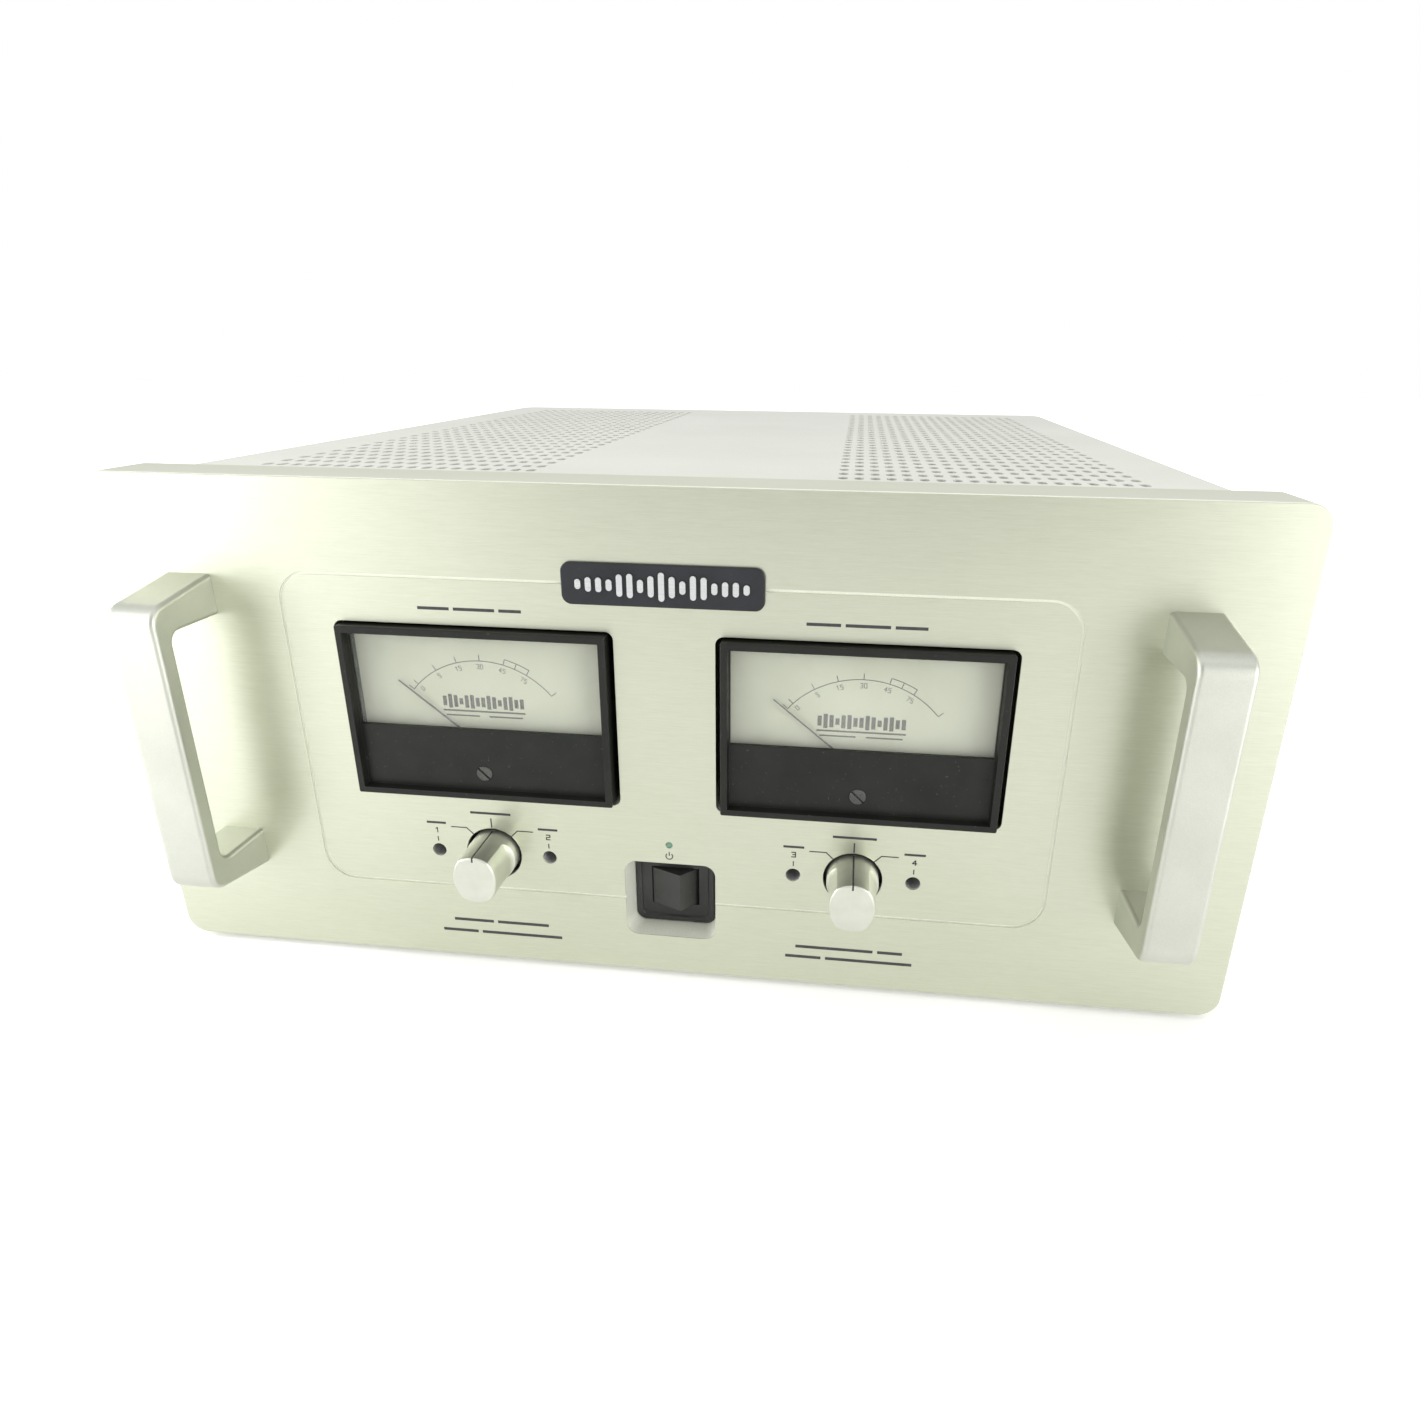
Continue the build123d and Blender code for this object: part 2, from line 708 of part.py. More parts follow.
with BuildPart() as rotary_switches:
    with BuildSketch(at_depth(tray_front_depth + sheet + 2)):
        with Locations(*knob_points):
            Circle(5)
    extrude(amount=tray_front_depth + sheet + 2 - knob_recess_depth)
    with BuildSketch(at_depth(tray_front_depth + sheet)):
        with Locations(*knob_points):
            RegularPolygon(8, 6)
    extrude(amount=-2.5)
    with BuildSketch(at_depth(tray_front_depth + sheet + 2.5)):
        with Locations(*knob_points):
            Circle(14)
    extrude(amount=-(switch_body_depth - tray_front_depth - sheet - 2.5))
    with BuildSketch(at_depth(34.5)):
        with Locations(*knob_points):
            Circle(shaft_r + running_gap)
    extrude(amount=34.5 - knob_recess_depth, mode=Mode.SUBTRACT)
rotary_switches.part.label = "rotary_switches"
export_step(rotary_switches.part, "parts/rotary_switches.step")

trimmer_screw_r = 2.3
trimmer_front_depth = 10.5

with BuildPart() as bias_pots:
    with BuildSketch(at_depth(tray_front_depth + sheet)):
        with Locations(*trimmer_points):
            Rectangle(11, 11)
    extrude(amount=-9)
    with BuildSketch(at_depth(21)):
        with Locations(*trimmer_points):
            Circle(trimmer_screw_r + running_gap)
    extrude(amount=21 - tray_front_depth - sheet, mode=Mode.SUBTRACT)
bias_pots.part.label = "bias_pots"
export_step(bias_pots.part, "parts/bias_pots.step")


def build_bias_screw(x):
    """Slotted trimmer spindle, set back inside its access hole."""
    with BuildPart() as screw:
        with BuildSketch(at_depth(20.5)):
            with Locations((x, height(knob_height))):
                Circle(trimmer_screw_r)
        extrude(amount=20.5 - trimmer_front_depth)
        with BuildSketch(at_depth(trimmer_front_depth)):
            with Locations((x, height(knob_height))):
                Rectangle(2 * trimmer_screw_r + 1, 0.8)
        extrude(amount=-1.0, mode=Mode.SUBTRACT)
    return screw


for number, x in enumerate(trimmer_xs, start=1):
    save(build_bias_screw(x), f"bias_screw_{number}")


# ---------------------------------------------------------------- power switch and lamp
switch_frame_depth = 12.2      # face of the frame around the rocker
switch_lip_depth = 11.3        # raised outer lip
switch_lip_width = 2.6
switch_z = height(switch_height)
housing_size = (32.6, 25.6)
housing_back_depth = 40.0
opening_length = rocker_length + 2 * rocker_gap

with BuildPart() as switch_body:
    with BuildSketch(at_depth(tray_front_depth)):
        with Locations((0, switch_z)):
            RectangleRounded(switch_back_size[0] - 0.4, switch_back_size[1] - 0.4, 4.3)
    extrude(amount=tray_front_depth - switch_lip_depth)
    chamfer(switch_body.faces().sort_by(Axis.Y)[0].edges(), length=0.5)
    with BuildSketch(at_depth(switch_frame_depth)):
        with Locations((0, switch_z)):
            RectangleRounded(switch_back_size[0] - 2 * switch_lip_width - 1.2,
                             switch_back_size[1] - 2 * switch_lip_width - 1.2, 2.0)
    with BuildSketch(at_depth(switch_lip_depth)):
        with Locations((0, switch_z)):
            RectangleRounded(switch_back_size[0] - 2 * switch_lip_width,
                             switch_back_size[1] - 2 * switch_lip_width, 2.6)
    loft(mode=Mode.SUBTRACT)
    with BuildSketch(at_depth(tray_front_depth)):
        with Locations((0, switch_z)):
            Rectangle(*housing_size)
    extrude(amount=-(housing_back_depth - tray_front_depth))
    with BuildSketch(at_depth(housing_back_depth)):
        with Locations((-10, switch_z), (0, switch_z), (10, switch_z)):
            Rectangle(0.8, 6.3)
    extrude(amount=-8)
    with BuildSketch(at_level(switch_z - opening_length / 2)):
        with Locations((0, front_y + rocker_pivot_depth)):
            Circle(rocker_side_r + rocker_gap)
    extrude(amount=opening_length, mode=Mode.SUBTRACT)
    with BuildSketch(at_level(switch_z - opening_length / 2 - 1.6)):
        with Locations((0, front_y + rocker_pivot_depth)):
            Circle(1.5 + running_gap)
    extrude(amount=opening_length + 3.2, mode=Mode.SUBTRACT)
switch_body.part.label = "switch_body"
export_step(switch_body.part, "parts/switch_body.step")

# Rocker at rest with its right side pressed in: the ridge leans half the throw to the right.
rocker_lean = math.radians(rocker_half_angle)
rocker_plane = Plane(origin=(0, front_y + rocker_pivot_depth, switch_z - rocker_length / 2),
                     x_dir=(math.cos(rocker_lean), math.sin(rocker_lean), 0), z_dir=(0, 0, 1))
rocker_grade = math.tan(math.radians(rocker_slope))
# corner where the sloped face meets the rounded side
corner_a = 1 + rocker_grade ** 2
corner_b = -2 * rocker_ridge_r * rocker_grade
corner_c = rocker_ridge_r ** 2 - rocker_side_r ** 2
corner_x = (-corner_b + math.sqrt(corner_b ** 2 - 4 * corner_a * corner_c)) / (2 * corner_a)
corner_y = -rocker_ridge_r + rocker_grade * corner_x
waist_y = -3.0
waist_x = math.sqrt(rocker_side_r ** 2 - waist_y ** 2)

with BuildPart() as power_rocker:
    with BuildSketch(rocker_plane):
        with BuildLine():
            Polyline((-corner_x, corner_y), (0, -rocker_ridge_r), (corner_x, corner_y))
            RadiusArc((corner_x, corner_y), (waist_x, waist_y), -rocker_side_r)
            Polyline((waist_x, waist_y), (5, 4), (-5, 4), (-waist_x, waist_y))
            RadiusArc((-waist_x, waist_y), (-corner_x, corner_y), -rocker_side_r)
        make_face()
    extrude(amount=rocker_length)
    with BuildSketch(rocker_plane.offset(-1.4)):
        Circle(1.5)
    extrude(amount=rocker_length + 2.8)
power_rocker.part.label = "power_rocker"
export_step(power_rocker.part, "parts/power_rocker.step")

with BuildPart() as power_led:
    with BuildSketch(turned_about_y(0, 0, height(led_height))):
        with BuildLine():
            Line((0, 18), (0, -0.6))
            RadiusArc((0, -0.6), (led_r, 0.4), 2.0)
            Polyline((led_r, 0.4), (led_r, 18), (0, 18))
        make_face()
    revolve(axis=spin_axis(0, height(led_height)))
power_led.part.label = "power_led"
export_step(power_led.part, "parts/power_led.step")


# ---------------------------------------------------------------- transformers
def build_transformer(place, core, bell, bolt_half):
    """Laminated core on a foot plate, with a coil and end bells through it."""
    x, y = place
    foot_plate = (2 * bolt_half[0] + 16, 2 * bolt_half[1] + 14)
    with BuildPart() as transformer:
        with BuildSketch(at_level(floor_z)):
            with Locations((x, y)):
                Rectangle(*foot_plate)
                with GridLocations(2 * bolt_half[0], 2 * bolt_half[1], 2, 2):
                    Circle(3.0, mode=Mode.SUBTRACT)
        extrude(amount=3)
        with BuildSketch(at_level(floor_z + 3)):
            with Locations((x, y)):
                Rectangle(core[0], core[1])
        extrude(amount=core[2])
        bell_plane = Plane(origin=(x, y - bell[1] / 2, floor_z + 3 + core[2] / 2),
                           x_dir=(1, 0, 0), z_dir=(0, -1, 0))
        with BuildSketch(bell_plane):
            RectangleRounded(bell[0], bell[2], 8)
        extrude(amount=-bell[1])
    return transformer


save(build_transformer(power_transformer_place, (100, 48, 98), (78, 92, 68), transformer_bolt_half["power"]),
     "power_transformer")
for name, place in output_transformer_places.items():
    save(build_transformer(place, (64, 38, 74), (50, 72, 50), transformer_bolt_half["output"]),
         f"output_transformer_{name}")

with BuildPart() as transformer_bolts:
    with BuildSketch(at_level(floor_z + 3)):
        with Locations(*bolt_points):
            RegularPolygon(5.2, 6)
    extrude(amount=4)
    with BuildSketch(at_level(floor_z + 3)):
        with Locations(*bolt_points):
            Circle(3.0)
    extrude(amount=-9)
    with BuildSketch(at_level(foot_height)):
        with Locations(*bolt_points):
            RegularPolygon(5.2, 6)
    extrude(amount=-4)
transformer_bolts.part.label = "transformer_bolts"
export_step(transformer_bolts.part, "parts/transformer_bolts.step")


# ---------------------------------------------------------------- valve boards and what stands on them
board_top = board_z + board_thickness
output_socket_height = 8.0
driver_socket_height = 7.0
output_points = [(side * board_x, front_y + depth) for side in (-1, 1) for depth in output_tube_depths]
driver_points = [(side * board_x, front_y + depth) for side in (-1, 1) for depth in driver_tube_depths]
capacitor_points = [
    (side * board_x + step, front_y + depth)
    for side in (-1, 1)
    for depth in capacitor_depths
    for step in (-24, 24)
]

with BuildPart() as valve_boards:
    with BuildSketch(at_level(board_z)):
        for side in (-1, 1):
            with Locations((side * board_x, front_y + board_depth)):
                Rectangle(*board_size)
        with Locations(*standoff_points):
            Circle(1.5, mode=Mode.SUBTRACT)
    extrude(amount=board_thickness)
valve_boards.part.label = "valve_boards"
export_step(valve_boards.part, "parts/valve_boards.step")

with BuildPart() as board_standoffs:
    with BuildSketch(at_level(floor_z)):
        with Locations(*standoff_points):
            RegularPolygon(3.5, 6)
    extrude(amount=board_z - floor_z)
    with BuildSketch(at_level(board_z)):
        with Locations(*standoff_points):
            Circle(1.5)
    extrude(amount=board_thickness)
    with BuildSketch(at_level(board_top)):
        with Locations(*standoff_points):
            Circle(3.0)
    extrude(amount=2)
board_standoffs.part.label = "board_standoffs"
export_step(board_standoffs.part, "parts/board_standoffs.step")

with BuildPart() as valve_sockets:
    with BuildSketch(at_level(board_top)):
        with Locations(*output_points):
            Circle(18.5)
    extrude(amount=output_socket_height)
    with BuildSketch(at_level(board_top)):
        with Locations(*driver_points):
            Circle(11.5)
    extrude(amount=driver_socket_height)
valve_sockets.part.label = "valve_sockets"
export_step(valve_sockets.part, "parts/valve_sockets.step")

output_base_z = board_top + output_socket_height
output_base_height = 22.0

with BuildPart() as output_valve_bases:
    with BuildSketch(at_level(output_base_z)):
        with Locations(*output_points):
            Circle(17.0)
    extrude(amount=output_base_height)
    with BuildSketch(at_level(output_base_z + output_base_height)):
        with Locations(*output_points):
            Rectangle(20, 14)
    extrude(amount=48)
output_valve_bases.part.label = "output_valve_bases"
export_step(output_valve_bases.part, "parts/output_valve_bases.step")


def bulb(points, base_z, radius, length, wall):
    """Glass envelope closed at the top by a dome, open at its foot."""
    with BuildPart() as glass:
        for x, y in points:
            with BuildSketch(Plane(origin=(x, y, base_z), x_dir=(1, 0, 0), z_dir=(0, -1, 0))):
                with BuildLine():
                    Line((radius - wall, 0), (radius, 0))
                    Line((radius, 0), (radius, length - radius))
                    RadiusArc((radius, length - radius), (0, length), -radius)
                    Line((0, length), (0, length - wall))
                    RadiusArc((0, length - wall), (radius - wall, length - radius), radius - wall)
                    Line((radius - wall, length - radius), (radius - wall, 0))
                make_face()
            revolve(axis=Axis((x, y, 0), (0, 0, 1)))
    return glass


save(bulb(output_points, output_base_z + output_base_height, 18.5, 78.0, 1.0), "output_valves")
save(bulb(driver_points, board_top + driver_socket_height, 10.5, 46.0, 0.9), "driver_valves")

with BuildPart() as filter_capacitors:
    with BuildSketch(at_level(board_top)):
        with Locations(*capacitor_points):
            Circle(17.5)
    extrude(amount=62)
    fillet(filter_capacitors.faces().group_by(Axis.Z)[-1].edges(), radius=1.5)
filter_capacitors.part.label = "filter_capacitors"
export_step(filter_capacitors.part, "parts/filter_capacitors.step")

coupling_r = 7.0
with BuildPart() as coupling_capacitors:
    for depth in (150.0, 215.0):
        with BuildSketch(at_depth(depth)):
            with Locations(*mirrored_points(board_x + 38, board_top + coupling_r)):
                Circle(coupling_r)
        extrude(amount=-34)
coupling_capacitors.part.label = "coupling_capacitors"
export_step(coupling_capacitors.part, "parts/coupling_capacitors.step")

harness_r = 2.6
with BuildPart() as wiring_harness:
    for side in (-1, 1):
        for lane_x, end_depth in ((115.0, 432.0), (108.0, 422.0)):
            start = (side * lane_x, front_y + 60, floor_z + harness_r)
            bend = (side * lane_x, front_y + end_depth, floor_z + harness_r)
            stop = (side * 30, front_y + end_depth, floor_z + harness_r)
            with BuildLine() as route:
                FilletPolyline(start, bend, stop, radius=15)
            with BuildSketch(Plane(origin=start, x_dir=(1, 0, 0), z_dir=(0, 1, 0))):
                Circle(harness_r)
            sweep(path=route.wires()[0])
wiring_harness.part.label = "wiring_harness"
export_step(wiring_harness.part, "parts/wiring_harness.step")


# ---------------------------------------------------------------- cooling fans
fan_front_depth = rear_panel_depth - fan_depth
fan_motor_r = 13.0
fan_blades = 7
fan_tip_r = 36.6
fan_cup_r = 16.0

with BuildPart() as fan_frames:
    with BuildSketch(at_depth(rear_panel_depth)):
        with Locations(*fan_points):
            RectangleRounded(fan_size, fan_size, 4)
            Circle(fan_bore_r, mode=Mode.SUBTRACT)
            with GridLocations(fan_screw_pitch, fan_screw_pitch, 2, 2):
                Circle(screw_r, mode=Mode.SUBTRACT)
    extrude(amount=fan_depth)
    with BuildSketch(at_depth(fan_front_depth + 3)):
        with Locations(*fan_points):
            Circle(fan_motor_r)
            Rectangle(2 * fan_bore_r + 1, 5)
            Rectangle(5, 2 * fan_bore_r + 1)
    extrude(amount=3)
    with BuildSketch(at_depth(fan_front_depth + 15)):
        with Locations(*fan_points):
            Circle(8)
    extrude(amount=12)
    with BuildSketch(at_depth(fan_front_depth + 15)):
        with Locations(*fan_points):
            Circle(1.5 + running_gap)
    extrude(amount=14, mode=Mode.SUBTRACT)
fan_frames.part.label = "fan_frames"
export_step(fan_frames.part, "parts/fan_frames.step")


def build_fan_rotor(x):
    """Cup over the motor with swept blades around it, on a short shaft."""
    cup_front = fan_front_depth + 4.5
    cup_back = fan_front_depth + 19.0
    with BuildPart() as rotor:
        with BuildSketch(turned_about_y(x, 0, fan_z)):
            with BuildLine():
                Polyline((9.0, cup_front), (fan_cup_r, cup_front), (fan_cup_r, cup_back), (0, cup_back),
                         (0, fan_front_depth + 2.5), (1.5, fan_front_depth + 2.5), (1.5, cup_back - 2.5),
                         (9.0, cup_back - 2.5), close=True)
            make_face()
        revolve(axis=spin_axis(x, fan_z))
        middle_depth = (cup_front + cup_back) / 2
        for blade in range(fan_blades):
            angle = 2 * math.pi * blade / fan_blades
            outward = (math.cos(angle), 0, math.sin(angle))
            across = (-math.sin(angle) * math.cos(math.radians(38)), math.sin(math.radians(38)),
                      math.cos(angle) * math.cos(math.radians(38)))
            start = Vector(x, front_y + middle_depth, fan_z) + Vector(*outward) * (fan_cup_r - 1)
            with BuildSketch(Plane(origin=start, x_dir=across, z_dir=outward)):
                SlotOverall(20, 1.6)
            extrude(amount=fan_tip_r - fan_cup_r - 1.5)
    return rotor


for name, side in sides.items():
    save(build_fan_rotor(side * fan_x), f"fan_rotor_{name}")

with BuildPart() as fan_guards:
    for x, z in fan_points:
        for ring_r in (10.0, 18.0, 26.0, 34.0, 41.0):
            with BuildSketch(turned_about_y(x, guard_ring_depth, z)):
                with Locations((ring_r, 0)):
                    Circle(guard_wire_r)
            revolve(axis=spin_axis(x, z))
        for i in (-1, 1):
            spoke = Plane(origin=(x, front_y + fan_screw_seat, z), x_dir=(1, 0, i), z_dir=(0, -1, 0))
            with BuildSketch(spoke):
                Rectangle(fan_screw_pitch * math.sqrt(2), 2.4)
            extrude(amount=1.6)
    with BuildSketch(at_depth(fan_screw_seat)):
        with Locations(*fan_screw_points):
            Circle(4.5)
    extrude(amount=fan_screw_seat - chassis_depth + cover_sheet)
    with BuildSketch(at_depth(fan_screw_seat)):
        with Locations(*fan_screw_points):
            Circle(screw_r)
    extrude(amount=fan_screw_seat - chassis_depth + cover_sheet, mode=Mode.SUBTRACT)
fan_guards.part.label = "fan_guards"
export_step(fan_guards.part, "parts/fan_guards.step")

# ---------------------------------------------------------------- rear connectors
rear_face_depth = chassis_depth - cover_sheet   # visible face of the rear panel
inlet_socket = (24.4, 16.4)
inlet_reach = 3.0

with BuildPart() as mains_inlet:
    with BuildSketch(at_depth(rear_face_depth)):
        with Locations((0, inlet_z)):
            RectangleRounded(50, 25, 5)
    extrude(amount=-inlet_reach)
    with BuildSketch(at_depth(rear_face_depth)):
        with Locations((0, inlet_z)):
            Rectangle(*inlet_size)
    extrude(amount=24)
    with BuildSketch(at_depth(rear_face_depth + inlet_reach)):
        with Locations((0, inlet_z)):
            RectangleRounded(*inlet_socket, 2)
    extrude(amount=inlet_reach + 16, mode=Mode.SUBTRACT)
    with BuildSketch(at_depth(rear_face_depth - 16)):
        with Locations((-7, inlet_z), (0, inlet_z + 3.5), (7, inlet_z)):
            Rectangle(2, 4)
    extrude(amount=-14)
mains_inlet.part.label = "mains_inlet"
export_step(mains_inlet.part, "parts/mains_inlet.step")

with BuildPart() as fuse_holder:
    with BuildSketch(at_depth(rear_face_depth)):
        with Locations((fuse_x, inlet_z)):
            Circle(9)
    extrude(amount=-3)
    with BuildSketch(at_depth(rear_face_depth)):
        with Locations((fuse_x, inlet_z)):
            Circle(6.5)
    extrude(amount=30)
    with BuildSketch(at_depth(rear_face_depth + 3)):
        with Locations((fuse_x, inlet_z)):
            Circle(4.5)
    extrude(amount=27, mode=Mode.SUBTRACT)
fuse_holder.part.label = "fuse_holder"
export_step(fuse_holder.part, "parts/fuse_holder.step")

with BuildPart() as fuse_cap:
    with BuildSketch(at_depth(rear_face_depth + 3.3)):
        with Locations((fuse_x, inlet_z)):
            Circle(7)
    extrude(amount=-5)
    fillet(fuse_cap.faces().sort_by(Axis.Y)[-1].edges(), radius=0.8)
    with BuildSketch(at_depth(rear_face_depth + 3.3)):
        with Locations((fuse_x, inlet_z)):
            Circle(4.5 - running_gap)
    extrude(amount=24)
    with BuildSketch(at_depth(rear_face_depth + 8.3)):
        with Locations((fuse_x, inlet_z)):
            Rectangle(10, 1.4)
    extrude(amount=1.5, mode=Mode.SUBTRACT)
fuse_cap.part.label = "fuse_cap"
export_step(fuse_cap.part, "parts/fuse_cap.step")

contact_count = 3
with BuildPart() as input_connectors:
    with BuildSketch(at_depth(rear_face_depth)):
        with Locations(*input_points):
            RectangleRounded(26, 31, 3)
    extrude(amount=-2.5)
    with BuildSketch(at_depth(rear_face_depth)):
        with Locations(*input_points):
            Circle(11.8)
    extrude(amount=20)
    with BuildSketch(at_depth(rear_face_depth + 2.5)):
        with Locations(*input_points):
            Circle(9.6)
            Circle(7.9, mode=Mode.SUBTRACT)
    extrude(amount=14, mode=Mode.SUBTRACT)
    with BuildSketch(at_depth(rear_face_depth + 2.5)):
        with Locations(*input_points):
            with PolarLocations(4.0, contact_count, start_angle=-30):
                Circle(1.3)
    extrude(amount=12, mode=Mode.SUBTRACT)
    with BuildSketch(at_depth(rear_face_depth + 2.5)):
        with Locations(*[(x, z + 13.0) for x, z in input_points]):
            Rectangle(8.2, 3.6)
    extrude(amount=2.0, mode=Mode.SUBTRACT)
input_connectors.part.label = "input_connectors"
export_step(input_connectors.part, "parts/input_connectors.step")


def build_input_latch(x):
    """Release tab of an input socket, in its slot above the socket's face."""
    with BuildPart() as latch:
        with BuildSketch(at_depth(rear_face_depth + 0.6)):
            with Locations((x, input_z + 13.9)):
                Rectangle(8.0, 1.7)
        extrude(amount=-4.4)
    return latch


for name, side in sides.items():
    save(build_input_latch(side * input_x), f"input_latch_{name}")

terminal_base = (terminal_count * terminal_pitch + 12, 30.0, 9.0)
terminal_screw_points = [
    (x + (index - (terminal_count - 1) / 2) * terminal_pitch, z)
    for x, z in terminal_points
    for index in range(terminal_count)
]

with BuildPart() as speaker_terminals:
    with BuildSketch(at_depth(rear_face_depth)):
        with Locations(*terminal_points):
            RectangleRounded(terminal_base[0], terminal_base[1], 2)
    extrude(amount=-terminal_base[2])
    with BuildSketch(at_depth(rear_face_depth + terminal_base[2])):
        with Locations(*terminal_points):
            with GridLocations(terminal_pitch, 1, terminal_count + 1, 1):
                Rectangle(3, 24)
    extrude(amount=-(connector_reach + cover_sheet - terminal_base[2]))
    with BuildSketch(at_depth(rear_face_depth + terminal_base[2])):
        with Locations(*terminal_screw_points):
            Circle(2.5)
    extrude(amount=7, mode=Mode.SUBTRACT)
speaker_terminals.part.label = "speaker_terminals"
export_step(speaker_terminals.part, "parts/speaker_terminals.step")

with BuildPart() as terminal_screws:
    with BuildSketch(at_depth(rear_face_depth + terminal_base[2])):
        with Locations(*terminal_screw_points):
            Rectangle(14, 16)
    extrude(amount=-1.2)
    with BuildSketch(at_depth(rear_face_depth + terminal_base[2] + 1.2)):
        with Locations(*terminal_screw_points):
            Circle(5)
            Rectangle(11, 1.2, mode=Mode.SUBTRACT)
    extrude(amount=-3)
    with BuildSketch(at_depth(rear_face_depth + terminal_base[2])):
        with Locations(*terminal_screw_points):
            Circle(2.5)
    extrude(amount=7)
terminal_screws.part.label = "terminal_screws"
export_step(terminal_screws.part, "parts/terminal_screws.step")

with BuildPart() as trigger_jack:
    with BuildSketch(at_depth(rear_face_depth)):
        with Locations((-fuse_x, inlet_z)):
            RegularPolygon(6, 6)
    extrude(amount=-2.5)
    with BuildSketch(at_depth(rear_face_depth)):
        with Locations((-fuse_x, inlet_z)):
            Circle(4.0)
    extrude(amount=14)
    with BuildSketch(at_depth(rear_face_depth + 2.5)):
        with Locations((-fuse_x, inlet_z)):
            Circle(1.8)
    extrude(amount=15, mode=Mode.SUBTRACT)
trigger_jack.part.label = "trigger_jack"
export_step(trigger_jack.part, "parts/trigger_jack.step")
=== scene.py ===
"""Looks of a rack-width valve power amplifier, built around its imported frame.

Metres, +Z up, the front panel faces -Y. Places come from the frame's boxes and joints.
"""
import json
import math

import bmesh
import bpy
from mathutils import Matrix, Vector


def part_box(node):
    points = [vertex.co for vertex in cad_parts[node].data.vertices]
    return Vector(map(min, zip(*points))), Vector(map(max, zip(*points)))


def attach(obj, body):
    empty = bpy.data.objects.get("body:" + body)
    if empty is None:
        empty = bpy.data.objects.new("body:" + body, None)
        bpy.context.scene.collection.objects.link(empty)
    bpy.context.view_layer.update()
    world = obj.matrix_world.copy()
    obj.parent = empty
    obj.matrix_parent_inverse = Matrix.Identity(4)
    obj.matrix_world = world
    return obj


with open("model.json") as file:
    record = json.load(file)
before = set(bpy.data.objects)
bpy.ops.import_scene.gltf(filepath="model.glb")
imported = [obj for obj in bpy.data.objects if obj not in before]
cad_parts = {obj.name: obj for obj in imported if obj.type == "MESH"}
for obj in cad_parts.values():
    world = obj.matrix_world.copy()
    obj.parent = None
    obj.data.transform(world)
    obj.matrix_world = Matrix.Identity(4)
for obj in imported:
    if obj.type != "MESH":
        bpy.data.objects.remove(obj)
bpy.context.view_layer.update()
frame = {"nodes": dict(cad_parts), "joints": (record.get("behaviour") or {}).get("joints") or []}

MM = 0.001
ROOT = "amplifier"
SIDES = ("left", "right")
NODES = frame["nodes"]
JOINTS = {joint["name"]: joint for joint in frame["joints"]}
FACE_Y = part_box("front_panel")[0].y


def hinge_point(name):
    return Vector(JOINTS[name]["pos_m"])


def add_object(name, data):
    made = bpy.data.objects.new(name, data)
    bpy.context.scene.collection.objects.link(made)
    return made


# ---------------------------------------------------------------- materials
def node(tree, kind, inputs=None, **settings):
    """One shader node; inputs are sockets to link or plain values."""
    made = tree.nodes.new(kind)
    for key, value in settings.items():
        setattr(made, key, value)
    for key, value in (inputs or {}).items():
        if isinstance(value, bpy.types.NodeSocket):
            tree.links.new(value, made.inputs[key])
        else:
            made.inputs[key].default_value = value
    return made


def place(tree, scale=(1, 1, 1), turn=(0, 0, 0), shift=(0, 0, 0)):
    """Point in the object's own space, scaled per axis."""
    point = node(tree, "ShaderNodeTexCoord").outputs["Object"]
    inputs = {"Vector": point, "Scale": scale, "Rotation": turn, "Location": shift}
    return node(tree, "ShaderNodeMapping", inputs).outputs["Vector"]


def noise(tree, scale=(100, 100, 100), detail=2.0, roughness=0.5, turn=(0, 0, 0), shift=(0, 0, 0)):
    inputs = {"Vector": place(tree, scale, turn, shift), "Scale": 1.0, "Detail": detail,
              "Roughness": roughness}
    return node(tree, "ShaderNodeTexNoise", inputs).outputs["Fac"]


def voronoi(tree, scale, feature="F1", vector=None):
    point = vector or place(tree, (scale,) * 3)
    return node(tree, "ShaderNodeTexVoronoi", {"Vector": point, "Scale": 1.0}, feature=feature)


def ramp(tree, value, stops, smooth=False):
    """Colour ramp; stops are (place, colour) pairs."""
    made = node(tree, "ShaderNodeValToRGB", {"Fac": value})
    made.color_ramp.interpolation = "EASE" if smooth else "LINEAR"
    elements = made.color_ramp.elements
    while len(elements) < len(stops):
        elements.new(0.5)
    for element, (at, colour) in zip(elements, stops):
        element.position = at
        element.color = tuple(colour) + (1.0,) * (4 - len(colour))
    return made.outputs["Color"]


def spread(tree, value, low, high, source=(0.3, 0.7)):
    """Maps a value from a source span to low..high."""
    inputs = {"Value": value, "From Min": source[0], "From Max": source[1], "To Min": low, "To Max": high}
    return node(tree, "ShaderNodeMapRange", inputs).outputs["Result"]


def mix(tree, share, first, second, blend="MIX"):
    made = node(tree, "ShaderNodeMix", data_type="RGBA", blend_type=blend)
    for index, value in ((0, share), (6, first), (7, second)):
        if isinstance(value, bpy.types.NodeSocket):
            tree.links.new(value, made.inputs[index])
        elif index:
            made.inputs[index].default_value = tuple(value) + (1.0,) * (4 - len(value))
        else:
            made.inputs[index].default_value = value
    return made.outputs[2]


def maths(tree, operation, first, second=0.0, clamp=False):
    inputs = {0: first, 1: second}
    return node(tree, "ShaderNodeMath", inputs, operation=operation, use_clamp=clamp).outputs[0]


def bump(tree, height, distance, edge=0.0):
    """Relief of a height pattern over corners eased by a radius of edge, all in metres."""
    inputs = {"Height": height, "Distance": distance}
    if edge:
        inputs["Normal"] = node(tree, "ShaderNodeBevel", {"Radius": edge}, samples=6).outputs["Normal"]
    return node(tree, "ShaderNodeBump", inputs).outputs["Normal"]


def new_material(name, **sockets):
    """Material with one Principled shader; sockets are its uniform values."""
    made = bpy.data.materials.new(name)
    made.use_nodes = True
    shader = made.node_tree.nodes["Principled BSDF"]
    for key, value in sockets.items():
        shader.inputs[key.replace("_", " ")].default_value = value
    return made, made.node_tree, shader


